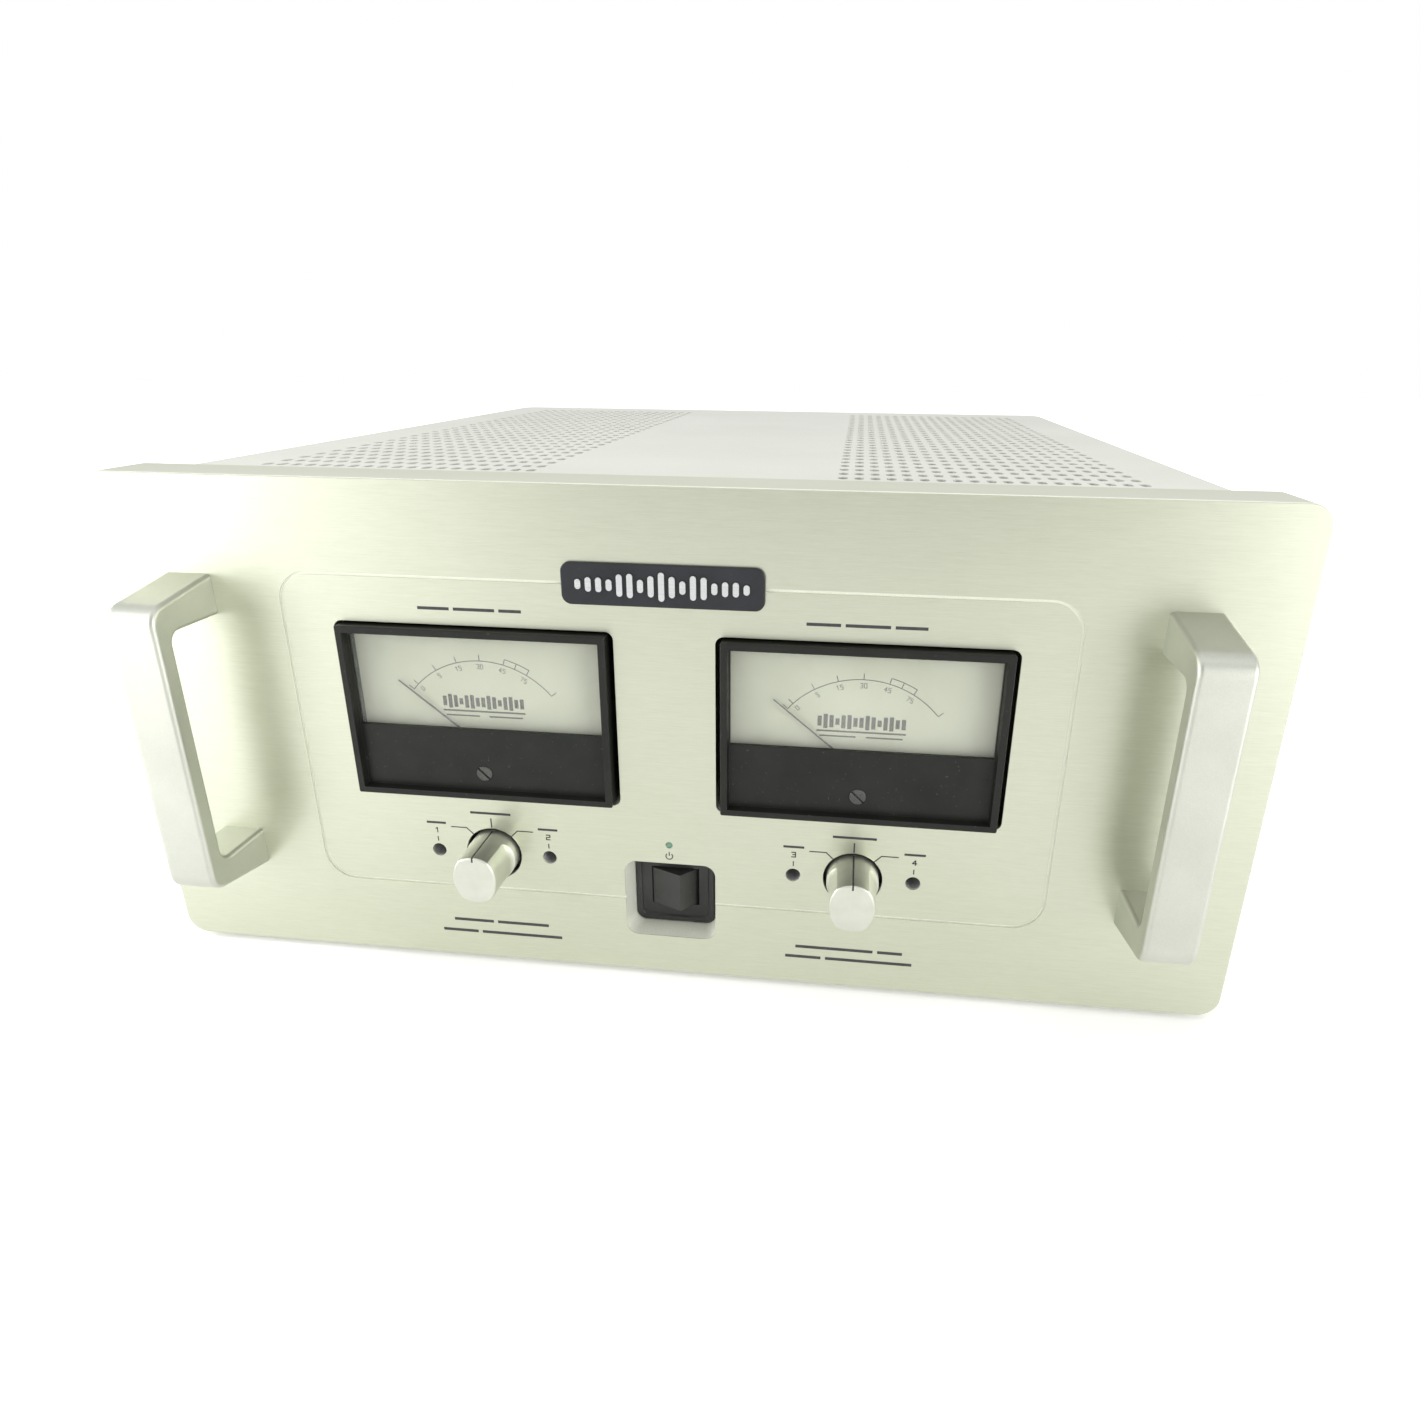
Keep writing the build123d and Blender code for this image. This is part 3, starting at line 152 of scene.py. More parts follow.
def feed(tree, shader, **links):
    for key, value in links.items():
        tree.links.new(value, shader.inputs[key.replace("_", " ")])


def grained(name, dark, light, rough=(0.35, 0.5), metal=0.0, cloud=30, grain=(1500, 1500, 1500),
            depth=0.02, detail=3.0, **sockets):
    """Everyday finish: clouded colour, and a fine grain in roughness and relief. depth is in mm."""
    made, tree, shader = new_material(name, Metallic=metal, **sockets)
    clouds = noise(tree, (cloud,) * 3, 4.0, 0.6)
    fine = noise(tree, grain, detail, 0.6)
    both = maths(tree, "ADD", maths(tree, "MULTIPLY", clouds, 0.6), maths(tree, "MULTIPLY", fine, 0.4))
    feed(tree, shader,
         Base_Color=ramp(tree, both, [(0.35, dark), (0.65, light)]),
         Roughness=spread(tree, fine, *rough),
         Normal=bump(tree, fine, depth * MM))
    return made


def brushed(name, dark, light, rough, stroke=(45, 2600, 2600), cloud=7, depth=0.006, anisotropy=0.4,
            turn=0.25, cut=None, edge=0.0):
    """Metal brushed in one direction: long fine strokes over faint clouds.

    cut is (y, half width, bore x, z, colour): surfaces just behind that y are milled, not brushed, and
    of that colour, which is partly a paler machined finish and partly painted light. So are deeper ones
    in the wide recess at that height. Those in the large bores at that x are painted shade, darker the
    deeper they lie, and those in the small bores beside them are a painted shade in between.
    """
    made, tree, shader = new_material(name, Anisotropic=anisotropy, Anisotropic_Rotation=turn)
    fine = noise(tree, stroke, 3.0, 0.75)
    broad = noise(tree, tuple(value * 0.4 for value in stroke), 2.0, 0.6, shift=(3, 5, 7))
    clouds = noise(tree, (cloud,) * 3, 3.0, 0.5)
    strokes = maths(tree, "ADD", maths(tree, "MULTIPLY", fine, 0.75), maths(tree, "MULTIPLY", broad, 0.25))
    tone = maths(tree, "ADD", maths(tree, "MULTIPLY", strokes, 0.75), maths(tree, "MULTIPLY", clouds, 0.25))
    colour = ramp(tree, tone, [(0.34, dark), (0.66, light)])
    roughness = spread(tree, strokes, *rough)
    if cut is None:
        shader.inputs["Metallic"].default_value = 1.0
    else:
        milled_y, half_width, bore_x, bore_z, milled_and_painted_light_colour = cut
        split = node(tree, "ShaderNodeSeparateXYZ", {"Vector": place(tree)})
        y = split.outputs["Y"]
        off = maths(tree, "ABSOLUTE", split.outputs["X"])
        lift = maths(tree, "ABSOLUTE", maths(tree, "SUBTRACT", split.outputs["Z"], bore_z))
        wide = maths(tree, "LESS_THAN", maths(tree, "MAXIMUM", off, lift), half_width)
        around = maths(tree, "MAXIMUM", maths(tree, "MULTIPLY", off, 0.12), lift)
        bored = maths(tree, "LESS_THAN", around, 0.015)
        behind = spread(tree, y, 0.0, 1.0, (milled_y - 0.05 * MM, milled_y + 0.05 * MM))
        light = maths(tree, "MAXIMUM", wide, maths(tree, "LESS_THAN", y, milled_y + 0.65 * MM))
        milled = maths(tree, "MULTIPLY", behind, maths(tree, "MAXIMUM", light, bored))
        # Pale milled colour with a little grit: partly the machined finish, partly painted light on recess
        # walls and groove bottoms.
        grit = noise(tree, (2400, 2400, 2400), 2.0, 0.6)
        milled_grit_and_painted_light = ramp(tree, grit, [(0.3, tuple(0.86 * c for c in milled_and_painted_light_colour)), (0.7, milled_and_painted_light_colour)])
        # Painted shade inside the bores: darker the deeper they lie, an even mid grey in the small bores.
        aside = maths(tree, "ABSOLUTE", maths(tree, "SUBTRACT", off, bore_x))
        small = maths(tree, "GREATER_THAN", aside, 18 * MM)
        deep = spread(tree, y, 0.4, 0.04, (milled_y + 0.6 * MM, milled_y + 4.0 * MM))
        deep = maths(tree, "MAXIMUM", deep, maths(tree, "MULTIPLY", small, 0.42))
        colour = mix(tree, milled, colour, mix(tree, light, deep, milled_grit_and_painted_light))
        roughness = maths(tree, "ADD", roughness, maths(tree, "MULTIPLY", milled, 0.12))
        feed(tree, shader, Metallic=spread(tree, milled, 1.0, 0.35, (0, 1)))
    feed(tree, shader, Base_Color=colour, Roughness=roughness,
         Normal=bump(tree, strokes, depth * MM, edge * MM))
    return made


def turned(name, dark, light, rough, centre, pitch=0.22, depth=0.0015, edge=0.4):
    """Metal turned on a lathe about a line along Y: fine rings and lengthwise-even sides."""
    made, tree, shader = new_material(name, Metallic=1.0, Anisotropic=0.35)
    point = place(tree, shift=(-centre[0], 0, -centre[2]))
    split = node(tree, "ShaderNodeSeparateXYZ", {"Vector": point})
    flat = node(tree, "ShaderNodeCombineXYZ", {"X": split.outputs["X"], "Z": split.outputs["Z"]}).outputs[0]
    radius = node(tree, "ShaderNodeVectorMath", {0: flat}, operation="LENGTH").outputs["Value"]
    path = maths(tree, "ADD", radius, maths(tree, "MULTIPLY", split.outputs["Y"], 1.0))
    ring_point = node(tree, "ShaderNodeCombineXYZ", {"X": maths(tree, "MULTIPLY", path, 1 / (pitch * MM)),
                                                     "Y": maths(tree, "MULTIPLY", split.outputs["Y"], 300)})
    rings = node(tree, "ShaderNodeTexNoise", {"Vector": ring_point.outputs[0], "Scale": 1.0,
                                             "Detail": 3.0, "Roughness": 0.6}).outputs["Fac"]
    clouds = noise(tree, (120, 120, 120), 3.0)
    tone = maths(tree, "ADD", maths(tree, "MULTIPLY", rings, 0.35), maths(tree, "MULTIPLY", clouds, 0.65))
    feed(tree, shader,
         Base_Color=ramp(tree, tone, [(0.35, dark), (0.65, light)]),
         Roughness=spread(tree, rings, *rough),
         Normal=bump(tree, rings, depth * MM, edge * MM))
    return made


def moulded(name, dark, light, rough=(0.38, 0.55), depth=0.02, dust=0.12, edge=0.3, **sockets):
    """Black moulded plastic: spark-eroded texture and a little settled dust."""
    made, tree, shader = new_material(name, **sockets)
    fine = noise(tree, (2200, 2200, 2200), 2.0, 0.6)
    clouds = noise(tree, (60, 60, 60), 4.0, 0.6)
    specks = noise(tree, (900, 900, 900), 2.0, 0.5, shift=(9, 2, 4))
    body = ramp(tree, clouds, [(0.3, dark), (0.7, light)])
    spots = spread(tree, specks, 0.0, dust, (0.70, 0.82))
    feed(tree, shader,
         Base_Color=mix(tree, spots, body, (0.42, 0.42, 0.38)),
         Roughness=spread(tree, fine, *rough),
         Normal=bump(tree, fine, depth * MM, edge * MM))
    return made


def coated(name, dark, light, rough=(0.42, 0.55), depth=0.03, pitch=1100, metal=0.25, edge=0.4):
    """Satin coated sheet: very fine orange peel."""
    made, tree, shader = new_material(name, Metallic=metal)
    peel = noise(tree, (pitch,) * 3, 2.0, 0.5)
    clouds = noise(tree, (9, 9, 9), 4.0, 0.55)
    flecks = noise(tree, (3400, 3400, 3400), 1.0, 0.5)
    tone = maths(tree, "ADD", maths(tree, "MULTIPLY", clouds, 0.55), maths(tree, "MULTIPLY", flecks, 0.45))
    feed(tree, shader,
         Base_Color=ramp(tree, tone, [(0.34, dark), (0.66, light)]),
         Roughness=spread(tree, peel, *rough),
         Normal=bump(tree, peel, depth * MM, edge * MM))
    return made


def blasted(name, dark, light, rough, depth=0.03, edge=0.7):
    """Bead-blasted and anodised metal: tiny round pits."""
    made, tree, shader = new_material(name, Metallic=1.0)
    pits = noise(tree, (2600, 2600, 2600), 2.0, 0.7)
    clouds = noise(tree, (25, 25, 25), 4.0, 0.6)
    tone = maths(tree, "ADD", maths(tree, "MULTIPLY", clouds, 0.5), maths(tree, "MULTIPLY", pits, 0.5))
    feed(tree, shader,
         Base_Color=ramp(tree, tone, [(0.35, dark), (0.65, light)]),
         Roughness=spread(tree, pits, *rough),
         Normal=bump(tree, pits, depth * MM, edge * MM))
    return made


def glass_bulb():
    """Clear envelope with a silvered getter at its crown."""
    made, tree, shader = new_material("valve_glass", Roughness=0.04, Specular_IOR_Level=0.7)
    up = node(tree, "ShaderNodeSeparateXYZ", {"Vector": place(tree)}).outputs["Z"]
    ragged = maths(tree, "ADD", up, maths(tree, "MULTIPLY", noise(tree, (90, 90, 90), 4.0), 0.006))
    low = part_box("output_valves")[1].z - 0.024
    crown = spread(tree, ragged, 0.0, 1.0, (low, low + 0.012))
    feed(tree, shader,
         Base_Color=mix(tree, crown, (0.82, 0.87, 0.88), (0.30, 0.30, 0.31)),
         Metallic=crown,
         Roughness=spread(tree, crown, 0.04, 0.22, (0, 1)),
         Alpha=spread(tree, crown, 0.16, 0.96, (0, 1)))
    return made


def laminated():
    """Transformer core and bells in black enamel, with the edges of the laminations."""
    made, tree, shader = new_material("core_enamel", Metallic=0.3)
    layers = noise(tree, (6, 1900, 6), 1.0, 0.5)
    drips = noise(tree, (130, 130, 130), 4.0, 0.6)
    tone = maths(tree, "ADD", maths(tree, "MULTIPLY", layers, 0.5), maths(tree, "MULTIPLY", drips, 0.5))
    feed(tree, shader,
         Base_Color=ramp(tree, tone, [(0.35, (0.012, 0.012, 0.014)), (0.68, (0.06, 0.06, 0.065))]),
         Roughness=spread(tree, drips, 0.28, 0.5),
         Normal=bump(tree, maths(tree, "ADD", layers, drips), 0.08 * MM))
    return made


def circuit_board():
    """Green solder mask with copper traces showing through and bright pads."""
    made, tree, shader = new_material("board_mask", Specular_IOR_Level=0.6)
    cells = voronoi(tree, 150, "DISTANCE_TO_EDGE").outputs["Distance"]
    traces = spread(tree, cells, 1.0, 0.0, (0.05, 0.07))
    pads = spread(tree, voronoi(tree, 150).outputs["Distance"], 1.0, 0.0, (0.10, 0.13))
    mask = mix(tree, traces, (0.010, 0.060, 0.032), (0.030, 0.125, 0.065))
    feed(tree, shader,
         Base_Color=mix(tree, pads, mask, (0.72, 0.72, 0.68)),
         Metallic=pads,
         Roughness=spread(tree, noise(tree, (400, 400, 400)), 0.25, 0.4),
         Normal=bump(tree, maths(tree, "ADD", traces, pads), 0.05 * MM))
    return made


def sleeved():
    """Heat-shrunk capacitor sleeve with a bare metal top."""
    made, tree, shader = new_material("capacitor_sleeve", Specular_IOR_Level=0.55)
    split = node(tree, "ShaderNodeSeparateXYZ", {"Vector": place(tree)})
    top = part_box("filter_capacitors")[1].z
    cap = spread(tree, split.outputs["Z"], 0.0, 1.0, (top - 0.0012, top - 0.0008))
    wrinkle = noise(tree, (70, 70, 420), 4.0, 0.6)
    colour = ramp(tree, wrinkle, [(0.3, (0.012, 0.022, 0.060)), (0.7, (0.030, 0.048, 0.11))])
    feed(tree, shader,
         Base_Color=mix(tree, cap, colour, (0.62, 0.63, 0.62)),
         Metallic=cap,
         Roughness=spread(tree, wrinkle, 0.18, 0.34),
         Normal=bump(tree, wrinkle, 0.1 * MM))
    return made


def wires():
    """Bundled hook-up wire: coloured strands that run along the loom."""
    made, tree, shader = new_material("loom_wires")
    strands = node(tree, "ShaderNodeTexNoise", {"Vector": place(tree, (900, 25, 900)), "Scale": 1.0,
                                                "Detail": 1.0}).outputs["Fac"]
    feed(tree, shader,
         Base_Color=ramp(tree, strands, [(0.36, (0.02, 0.02, 0.022)), (0.46, (0.35, 0.02, 0.02)),
                                         (0.52, (0.04, 0.08, 0.30)), (0.60, (0.65, 0.62, 0.55))]),
         Roughness=spread(tree, strands, 0.35, 0.5),
         Normal=bump(tree, strands, 0.35 * MM))
    return made


def clear_lens():
    """Acrylic window: faint haze and hairlines."""
    made, tree, shader = new_material("window_acrylic", Specular_IOR_Level=0.5)
    haze = noise(tree, (35, 35, 35), 4.0, 0.6)
    hair = noise(tree, (30, 1800, 1800), 1.0, 0.5, turn=(0, 0.35, 0))
    feed(tree, shader,
         Base_Color=ramp(tree, haze, [(0.3, (0.86, 0.89, 0.80)), (0.7, (0.95, 0.97, 0.90))]),
         Roughness=spread(tree, hair, 0.03, 0.09),
         Alpha=spread(tree, haze, 0.07, 0.12))
    return made


def lit_dial():
    """Matt printed dial card: warm pale stock."""
    made, tree, shader = new_material("dial_card", Specular_IOR_Level=0.3)
    fibre = noise(tree, (1400, 1400, 1400), 3.0, 0.6)
    clouds = noise(tree, (24, 24, 24), 3.0, 0.5)
    tone = maths(tree, "ADD", maths(tree, "MULTIPLY", fibre, 0.35), maths(tree, "MULTIPLY", clouds, 0.65))
    feed(tree, shader,
         Base_Color=ramp(tree, tone, [(0.32, (0.40, 0.42, 0.32)), (0.68, (0.46, 0.48, 0.375))]),
         Roughness=spread(tree, fibre, 0.55, 0.7),
         Normal=bump(tree, fibre, 0.01 * MM))
    return made


BORE = hinge_point("knob_right_turn")
# Front panel: milled walls and groove bottoms get a pale colour, partly machined finish and partly painted
# light; its bores get painted shade.
PANEL = brushed("panel_brushed", (0.555, 0.575, 0.455), (0.645, 0.665, 0.545), (0.34, 0.42),
                (110, 3600, 3600), cut=(FACE_Y + 0.25 * MM, 0.04, BORE.x, BORE.z, (0.84, 0.86, 0.75)),
                edge=0.12)
KNOBS = {
    name: turned(f"knob_turned_{name}", (0.60, 0.615, 0.54), (0.67, 0.685, 0.61), (0.40, 0.50),
                 JOINTS[f"knob_{name}_turn"]["pos_m"])
    for name in SIDES
}
HANDLE = blasted("handle_blasted", (0.49, 0.505, 0.445), (0.60, 0.615, 0.55), (0.40, 0.52))
COVER = coated("cover_coat", (0.68, 0.695, 0.625), (0.76, 0.775, 0.705))
REAR = coated("rear_coat", (0.62, 0.635, 0.58), (0.72, 0.735, 0.68))
TRAY = brushed("tray_sheet", (0.50, 0.51, 0.50), (0.66, 0.67, 0.66), (0.35, 0.5), (40, 1200, 1200))
ZINC = grained("zinc_plate", (0.46, 0.47, 0.48), (0.66, 0.67, 0.68), (0.25, 0.42), 1.0, 150,
               (3000, 3000, 3000), 0.01)
RUBBER = grained("foot_rubber", (0.012, 0.012, 0.012), (0.03, 0.03, 0.03), (0.7, 0.9), 0.0, 60,
                 (1600, 1600, 1600), 0.05)
BEZEL = moulded("bezel_plastic", (0.008, 0.009, 0.007), (0.013, 0.014, 0.011), (0.32, 0.44), 0.015, 0.16,
                Specular_IOR_Level=0.26)
BLACK = moulded("black_plastic", (0.014, 0.014, 0.014), (0.026, 0.026, 0.026))
SCREW = moulded("screw_black", (0.030, 0.032, 0.028), (0.060, 0.062, 0.055), (0.22, 0.34), 0.006, 0.10, 0.25)
ROCKER = moulded("rocker_plastic", (0.016, 0.016, 0.016), (0.030, 0.030, 0.030), (0.34, 0.46), 0.02, 0.2)
BADGE = moulded("badge_paint", (0.012, 0.013, 0.016), (0.020, 0.021, 0.025), (0.34, 0.46), 0.008, 0.1,
                Specular_IOR_Level=0.35)
EMBLEM = brushed("emblem_metal", (0.55, 0.56, 0.56), (0.74, 0.75, 0.75), (0.25, 0.38), (60, 2600, 2600))
POINTER = grained("pointer_paint", (0.008, 0.008, 0.008), (0.02, 0.02, 0.02), (0.4, 0.55))
INK = grained("legend_ink", (0.022, 0.023, 0.024), (0.045, 0.046, 0.047), (0.45, 0.6), 0.0, 300,
              (2500, 2500, 2500), 0.004)
DIAL_INK = grained("dial_ink", (0.008, 0.009, 0.008), (0.020, 0.022, 0.019), (0.5, 0.65), 0.0, 400,
                   (2500, 2500, 2500), 0.004)
LAMP = grained("lamp_lens", (0.10, 0.20, 0.13), (0.17, 0.30, 0.20), (0.18, 0.3), 0.0, 800,
               (4000, 4000, 4000), 0.02, Subsurface_Weight=0.15)
BRASS = grained("terminal_brass", (0.55, 0.40, 0.16), (0.78, 0.62, 0.30), (0.2, 0.35), 1.0, 200,
                (2600, 2600, 2600), 0.01)
NICKEL = grained("shell_nickel", (0.42, 0.42, 0.41), (0.60, 0.60, 0.58), (0.18, 0.3), 1.0, 120,
                 (2400, 2400, 2400), 0.01)
CHROME = grained("guard_chrome", (0.60, 0.60, 0.61), (0.76, 0.76, 0.77), (0.10, 0.2), 1.0, 90,
                 (1800, 1800, 1800), 0.008)

FINISHES = {
    PANEL: ["front_panel"],
    HANDLE: ["handle_left", "handle_right"],
    KNOBS["left"]: ["knob_left"],
    KNOBS["right"]: ["knob_right"],
    COVER: ["top_cover"],
    REAR: ["rear_panel"],
    TRAY: ["chassis_tray"],
    ZINC: ["handle_screws", "chassis_screws", "transformer_bolts", "board_standoffs",
           "bias_screw_1", "bias_screw_2", "bias_screw_3", "bias_screw_4"],
    RUBBER: ["feet"],
    BEZEL: ["meter_bezel_left", "meter_bezel_right"],
    SCREW: ["zero_screw_left", "zero_screw_right"],
    BLACK: ["meter_case_left", "meter_case_right", "rotary_switches", "bias_pots", "switch_body",
            "valve_sockets", "output_valve_bases", "coupling_capacitors", "fan_frames",
            "fan_rotor_left", "fan_rotor_right", "mains_inlet", "fuse_holder", "fuse_cap",
            "speaker_terminals", "trigger_jack"],
    ROCKER: ["power_rocker"],
    BADGE: ["badge_plate"],
    EMBLEM: ["badge_emblem"],
    POINTER: ["pointer_left", "pointer_right"],
    LAMP: ["power_led"],
    BRASS: ["terminal_screws"],
    NICKEL: ["input_connectors", "input_latch_left", "input_latch_right"],
    CHROME: ["fan_guards"],
    clear_lens(): ["meter_lens_left", "meter_lens_right"],
    lit_dial(): ["meter_dial_left", "meter_dial_right"],
    laminated(): ["power_transformer", "output_transformer_left", "output_transformer_right"],
    circuit_board(): ["valve_boards"],
    glass_bulb(): ["output_valves", "driver_valves"],
    sleeved(): ["filter_capacitors"],
    wires(): ["wiring_harness"],
}
for finish, names in FINISHES.items():
    for name in names:
        NODES[name].data.materials.clear()
        NODES[name].data.materials.append(finish)


# ---------------------------------------------------------------- thin printed and filled pieces
class Print:
    """Flat shapes of ink on a plane that faces -Y, gathered into one mesh."""

    def __init__(self, name, y, material, slot_name, body=ROOT, thickness=0.03 * MM):
        self.name, self.y, self.material = name, y, material
        self.slot_name, self.body, self.thickness = slot_name, body, thickness
        self.mesh = bmesh.new()

    def outline(self, points):
        """A closed convex shape; points are (x, z) in metres, anticlockwise seen from -Y."""
        back = [self.mesh.verts.new((x, self.y, z)) for x, z in points]
        front = [self.mesh.verts.new((x, self.y - self.thickness, z)) for x, z in points]
        self.mesh.faces.new(front)
        self.mesh.faces.new(back[::-1])
        for i, _ in enumerate(points):
            j = (i + 1) % len(points)
            self.mesh.faces.new((back[i], back[j], front[j], front[i]))

    def bar(self, centre, width, height, lean=0.0):
        """A rectangle about a centre, leant clockwise by an angle."""
        c, s = math.cos(lean), math.sin(lean)
        corners = [(-width / 2, -height / 2), (width / 2, -height / 2), (width / 2, height / 2),
                   (-width / 2, height / 2)]
        self.outline([(centre[0] + u * c + v * s, centre[1] - u * s + v * c) for u, v in corners])

    def line(self, points, width):
        """Straight strokes from point to point."""
        for (x0, z0), (x1, z1) in zip(points, points[1:]):
            length = math.hypot(x1 - x0, z1 - z0)
            lean = math.atan2(x1 - x0, z1 - z0)
            self.bar(((x0 + x1) / 2, (z0 + z1) / 2), width, length + width * 0.6, lean)

    def arc(self, centre, radius, start, stop, width, steps=48):
        """A stroke along a circle, from start to stop clockwise from straight up, in radians."""
        turns = [start + (stop - start) * i / steps for i in range(steps + 1)]
        rows = []
        for r in (radius - width / 2, radius + width / 2):
            rows.append([(centre[0] + r * math.sin(a), centre[1] + r * math.cos(a)) for a in turns])
        for i in range(steps):
            self.outline([rows[0][i], rows[0][i + 1], rows[1][i + 1], rows[1][i]][::-1])

    def number(self, text, centre, height, stroke, squash=1.0, lean=0.0):
        """Digits drawn as strokes on a two by three grid."""
        strokes = {
            "0": [[(0, 0), (1, 0), (1, 2), (0, 2), (0, 0)]],
            "1": [[(0.15, 1.55), (0.6, 2), (0.6, 0)]],
            "2": [[(0, 1.9), (0.1, 2), (1, 2), (1, 1.1), (0, 0.9), (0, 0), (1, 0)]],
            "3": [[(0, 2), (1, 2), (1, 0), (0, 0)], [(0.25, 1), (1, 1)]],
            "4": [[(0.75, 0), (0.75, 2), (0, 0.7), (1.1, 0.7)]],
            "5": [[(1, 2), (0, 2), (0, 1.1), (1, 1.1), (1, 0), (0, 0)]],
            "7": [[(0, 2), (1, 2), (0.35, 0)]],
        }
        unit = height / 2
        wide = unit * 1.15 * squash
        step = wide + unit * 0.65
        span = step * (len(text) - 1) + wide
        c, s = math.cos(lean), math.sin(lean)
        for index, digit in enumerate(text):
            for run in strokes[digit]:
                moved = []
                for u, v in run:
                    x = -span / 2 + index * step + u * wide
                    z = (v - 1) * unit
                    moved.append((centre[0] + x * c + z * s, centre[1] - x * s + z * c))
                self.line(moved, stroke)

    def done(self):
        data = bpy.data.meshes.new(self.name)
        bmesh.ops.recalc_face_normals(self.mesh, faces=self.mesh.faces)
        self.mesh.to_mesh(data)
        self.mesh.free()
        made = add_object(self.name, data)
        made.data.materials.append(self.material)
        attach(made, self.body)
        return made


def blank_legend(sheet, centre, words, height):
    """Plain bars in the rhythm of a printed caption, one bar a word; no lettering."""
    gap = height * 0.8
    x = centre[0] - (sum(words) * MM + gap * (len(words) - 1)) / 2
    for word in words:
        sheet.bar((x + word * MM / 2, centre[1]), word * MM, height * 0.6)
        x += word * MM + gap


# Panel print: leaders and ticks round each knob, a tick over each trimmer, plain caption bars.
STROKE = 0.62 * MM
FINE_STROKE = STROKE * 0.85
LEADER = ((18.9, 12.35), (11.8, 12.35), (8.8, 9.35))    # mm from the knob's middle
lines = Print("legend_lines", FACE_Y, INK, "badge_black")
figures = Print("legend_figures", FACE_Y, INK, "badge_black")
rules = Print("legend_bars", FACE_Y, INK, "badge_black")
CAPTIONS = {
    "left": ((13.5, 17.5, 9.5), ((19.0, 24.5), 19.7), ((17.0, 38.5), 13.6)),
    "right": ((13.5, 17.5, 12.5), ((34.5, 11.0), 19.6), ((16.0, 38.5), 14.2)),
}
panel_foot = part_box("front_panel")[0].z
trimmer = 0
for name in SIDES:
    knob = hinge_point(f"knob_{name}_turn")
    lines.line([(knob.x, knob.z + 13.4 * MM), (knob.x, knob.z + 17.7 * MM)], STROKE)
    for way in (-1, 1):
        trimmer += 1
        lines.line([(knob.x + way * dx * MM, knob.z + dz * MM)
                    for dx, dz in LEADER], FINE_STROKE)
        hole = hinge_point(f"bias_{trimmer}_turn")
        lines.line([(hole.x, hole.z + 4.7 * MM), (hole.x, hole.z + 6.8 * MM)], FINE_STROKE)
        figures.number(str(trimmer), (hole.x, hole.z + 10.2 * MM), 2.3 * MM, 0.5 * MM, 1.25)
        blank_legend(rules, (hole.x, hole.z + 14.0 * MM), (9.0,), 1.8 * MM)
    blank_legend(rules, (knob.x, knob.z + 20.3 * MM), (18.6,), 1.9 * MM)
    title, *captions = CAPTIONS[name]
    bezel_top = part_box(f"meter_bezel_{name}")[1].z
    blank_legend(rules, (knob.x, bezel_top + 3.4 * MM), title, 2.2 * MM)
    for words, height in captions:
        blank_legend(rules, (knob.x, panel_foot + height * MM), words, 2.5 * MM)
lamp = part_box("power_led")
lamp_x = (lamp[0].x + lamp[1].x) / 2
lamp_z = (lamp[0].z + lamp[1].z) / 2
symbol = (lamp_x, lamp_z - 5.5 * MM)
lines.arc(symbol, 1.5 * MM, math.radians(40), math.radians(320), 0.5 * MM, 28)
lines.line([(symbol[0], symbol[1] + 0.3 * MM), (symbol[0], symbol[1] + 2.0 * MM)], 0.5 * MM)
for sheet in (lines, figures, rules):
    sheet.done()


def index_fill(name):
    """Dark filling of a knob's index groove: along its top and down over its front edge."""
    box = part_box(f"knob_{name}")
    knob = hinge_point(f"knob_{name}_turn")
    radius = box[1].z - knob.z
    front, skin, deep, edge, drop, half = box[0].y, 0.04 * MM, 0.46 * MM, 0.9 * MM, 2.15 * MM, 0.39 * MM
    top = knob.z + radius - skin
    outer = [(FACE_Y + 0.9 * MM, top)]
    for step in range(9):
        angle = math.radians(90 * step / 8)
        outer.append((front + skin + edge * (1 - math.sin(angle)), top - edge * (1 - math.cos(angle))))
    outer.append((front + skin, top - drop))
    inner = [(front + deep, top - drop), (front + deep, top - deep + skin),
             (FACE_Y + 0.9 * MM, top - deep + skin)]
    profile = outer + inner
    mesh = bmesh.new()
    left, right = [[mesh.verts.new((knob.x + way * half, y, z)) for y, z in profile] for way in (-1, 1)]
    count = len(profile)
    for i in range(count):
        j = (i + 1) % count
        mesh.faces.new((left[i], left[j], right[j], right[i]))
    mesh.faces.new(left[::-1])
    mesh.faces.new(right)
    bmesh.ops.recalc_face_normals(mesh, faces=mesh.faces)
    data = bpy.data.meshes.new(f"index_fill_{name}")
    mesh.to_mesh(data)
    mesh.free()
    made = add_object(f"index_fill_{name}", data)
    made.data.materials.append(INK)
    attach(made, f"knob_{name}")


for name in SIDES:
    index_fill(name)

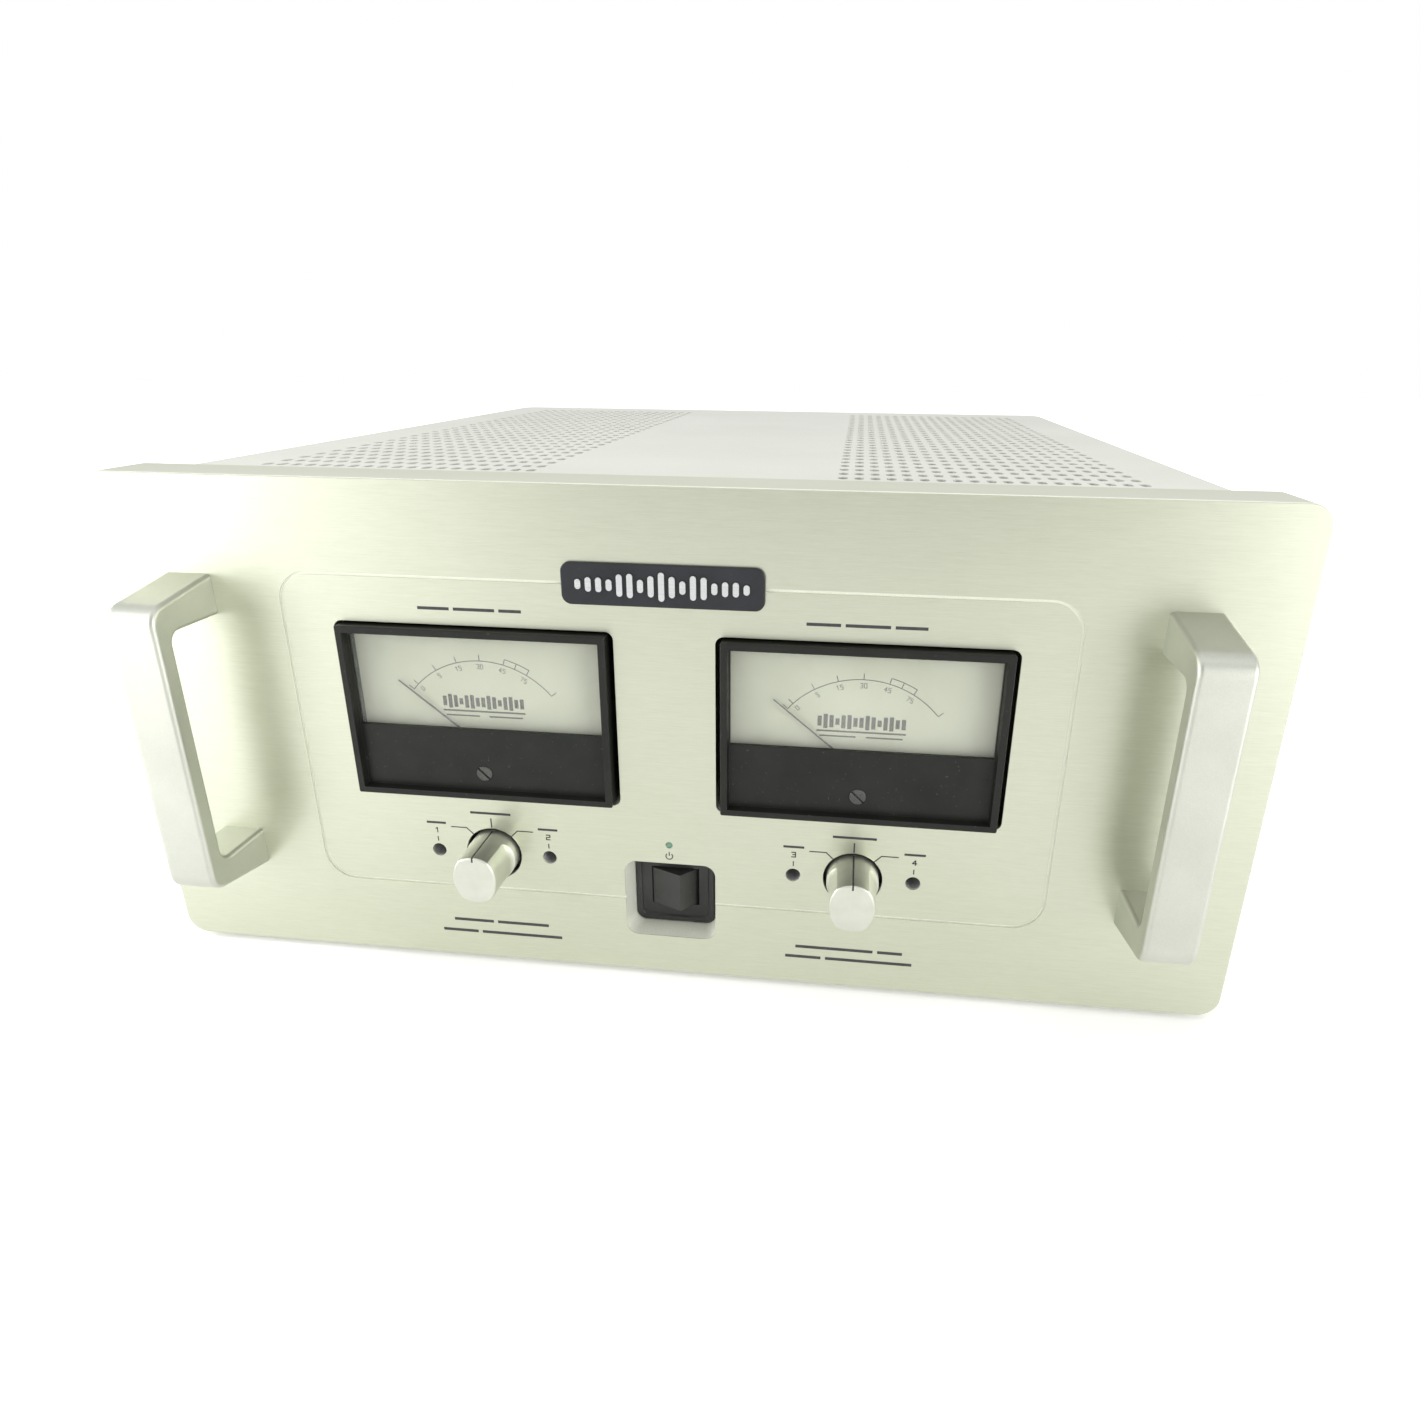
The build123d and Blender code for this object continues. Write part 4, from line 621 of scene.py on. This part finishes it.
# Dial print: arc, ticks, a boxed band, figures, and a plain bar mark below.
ARC_R = 39.7 * MM
ARC_START, ARC_END = -50.1, 50.3
TICK = 2.6 * MM
BARS = 15
BAR_PITCH = 2.45 * MM
THIN = 0.36 * MM
TICKS = {-45.5: "0", -29.7: "5", -14.9: "15", 0.0: "30", 15.2: "45", 30.5: "75"}
for name in SIDES:
    pivot = hinge_point(f"pointer_{name}_swing")
    middle = (pivot.x, pivot.z)
    dial_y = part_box(f"meter_dial_{name}")[0].y
    scale = Print(f"dial_scale_{name}", dial_y, DIAL_INK, "pointer_black")
    scale.arc(middle, ARC_R, math.radians(ARC_START), math.radians(ARC_END), THIN)
    scale.arc(middle, ARC_R + TICK, math.radians(15.2), math.radians(30.5), THIN, 14)

    def spoke(degrees, inner, outer, width):
        a = math.radians(degrees)
        scale.line([(middle[0] + r * math.sin(a), middle[1] + r * math.cos(a)) for r in (inner, outer)],
                   width)

    for degrees, text in TICKS.items():
        spoke(degrees, ARC_R, ARC_R + TICK, THIN)
        a = math.radians(degrees)
        r = ARC_R - TICK
        scale.number(text, (middle[0] + r * math.sin(a), middle[1] + r * math.cos(a)), 1.9 * MM,
                     0.27 * MM, 0.95, lean=a * 0.9)
    for degrees in (22.5, ARC_END, ARC_START):
        spoke(degrees, ARC_R, ARC_R + TICK, THIN)
    for index in range(BARS):
        height = (2.6 + 3.8 * abs(math.sin(index * 0.9 + 0.5))) * MM
        scale.bar((middle[0] + (index - BARS // 2) * BAR_PITCH, middle[1] + 20.9 * MM), 1.7 * MM, height)
    scale.bar((middle[0], middle[1] + 16.6 * MM), 36.6 * MM, 0.8 * MM)
    for word in (-1, 1):
        scale.bar((middle[0] + word * 9.6 * MM, middle[1] + 14.4 * MM), 15.0 * MM, 0.7 * MM)
    scale.done()


# ---------------------------------------------------------------- smooth curved faces of the frame
def soften(data, degrees=28):
    data.shade_smooth()
    data.set_sharp_from_angle(angle=math.radians(degrees))


for carried in NODES.values():
    soften(carried.data)


# ---------------------------------------------------------------- floor, light and camera
def floor_piece():
    data = bpy.data.meshes.new("floor")
    half = 6.0
    data.from_pydata([(-half, -half, 0), (half, -half, 0), (half, half, 0), (-half, half, 0)], [],
                     [(0, 1, 2, 3)])
    made = add_object("floor", data)
    paint, tree, shader = new_material("floor_paint", Specular_IOR_Level=0.2)
    soft = noise(tree, (2, 2, 2), 3.0)
    y = node(tree, "ShaderNodeSeparateXYZ", {"Vector": place(tree)}).outputs["Y"]
    shader.inputs["Emission Color"].default_value = (1, 1, 1, 1)
    feed(tree, shader,
         Base_Color=ramp(tree, soft, [(0.3, (0.90, 0.90, 0.89)), (0.7, (0.93, 0.93, 0.92))]),
         Roughness=spread(tree, soft, 0.6, 0.75),
         Emission_Strength=spread(tree, y, 0.15, 0.6, (-0.2, 1.0)))
    made.data.materials.append(paint)


def softbox(name, location, target, size, power, colour=(1, 1, 1)):
    data = bpy.data.lights.new(name, "AREA")
    data.shape = "RECTANGLE"
    data.size, data.size_y = size
    data.energy = power
    data.color = colour
    made = add_object(name, data)
    made.location = location
    made.rotation_euler = (Vector(target) - Vector(location)).to_track_quat("-Z", "Y").to_euler()


def sky(front, behind):
    """Even pale surroundings, a little darker on the side that the panel faces."""
    world = bpy.data.worlds.new("studio")
    bpy.context.scene.world = world
    world.use_nodes = True
    tree = world.node_tree
    background = tree.nodes["Background"]
    direction = node(tree, "ShaderNodeTexCoord").outputs["Generated"]
    y = node(tree, "ShaderNodeSeparateXYZ", {"Vector": direction}).outputs["Y"]
    tree.links.new(ramp(tree, spread(tree, y, 0.0, 1.0, (-0.25, 0.15)), [(0, front), (1, behind)]),
                   background.inputs["Color"])


floor_piece()
sky((0.475, 0.475, 0.475), (1.0, 1.0, 1.0))
PANEL_MIDDLE = (0, -0.2, 0.1)
softbox("light_left_far", (-1.0, -1.1, 0.35), PANEL_MIDDLE, (1.1, 1.0), 3.1)
softbox("light_left_near", (-0.75, -0.5, 0.3), PANEL_MIDDLE, (0.5, 0.5), 3.8)
softbox("light_right", (1.15, -0.95, 0.35), PANEL_MIDDLE, (0.8, 0.8), 11.9)
softbox("light_floor", (0, -0.55, 0.9), (0, -0.45, 0), (1.4, 0.35), 1.85)

scene = bpy.context.scene
scene.view_settings.view_transform = "Standard"
scene.view_settings.look = "None"

LENS_MM = 22.79
SENSOR_MM = 36.0
CAMERA_AT = (0.0738, -0.5673, 0.2739)
CAMERA_TILT = (69.17, -0.525, 6.76)
CAMERA_SHIFT = (-0.0280, -0.0138)
data = bpy.data.cameras.new("camera")
data.lens = LENS_MM
data.sensor_width = SENSOR_MM
data.shift_x, data.shift_y = CAMERA_SHIFT
data.clip_start = 0.01
camera = add_object("camera", data)
camera.location = CAMERA_AT
camera.rotation_euler = [math.radians(angle) for angle in CAMERA_TILT]
scene.camera = camera
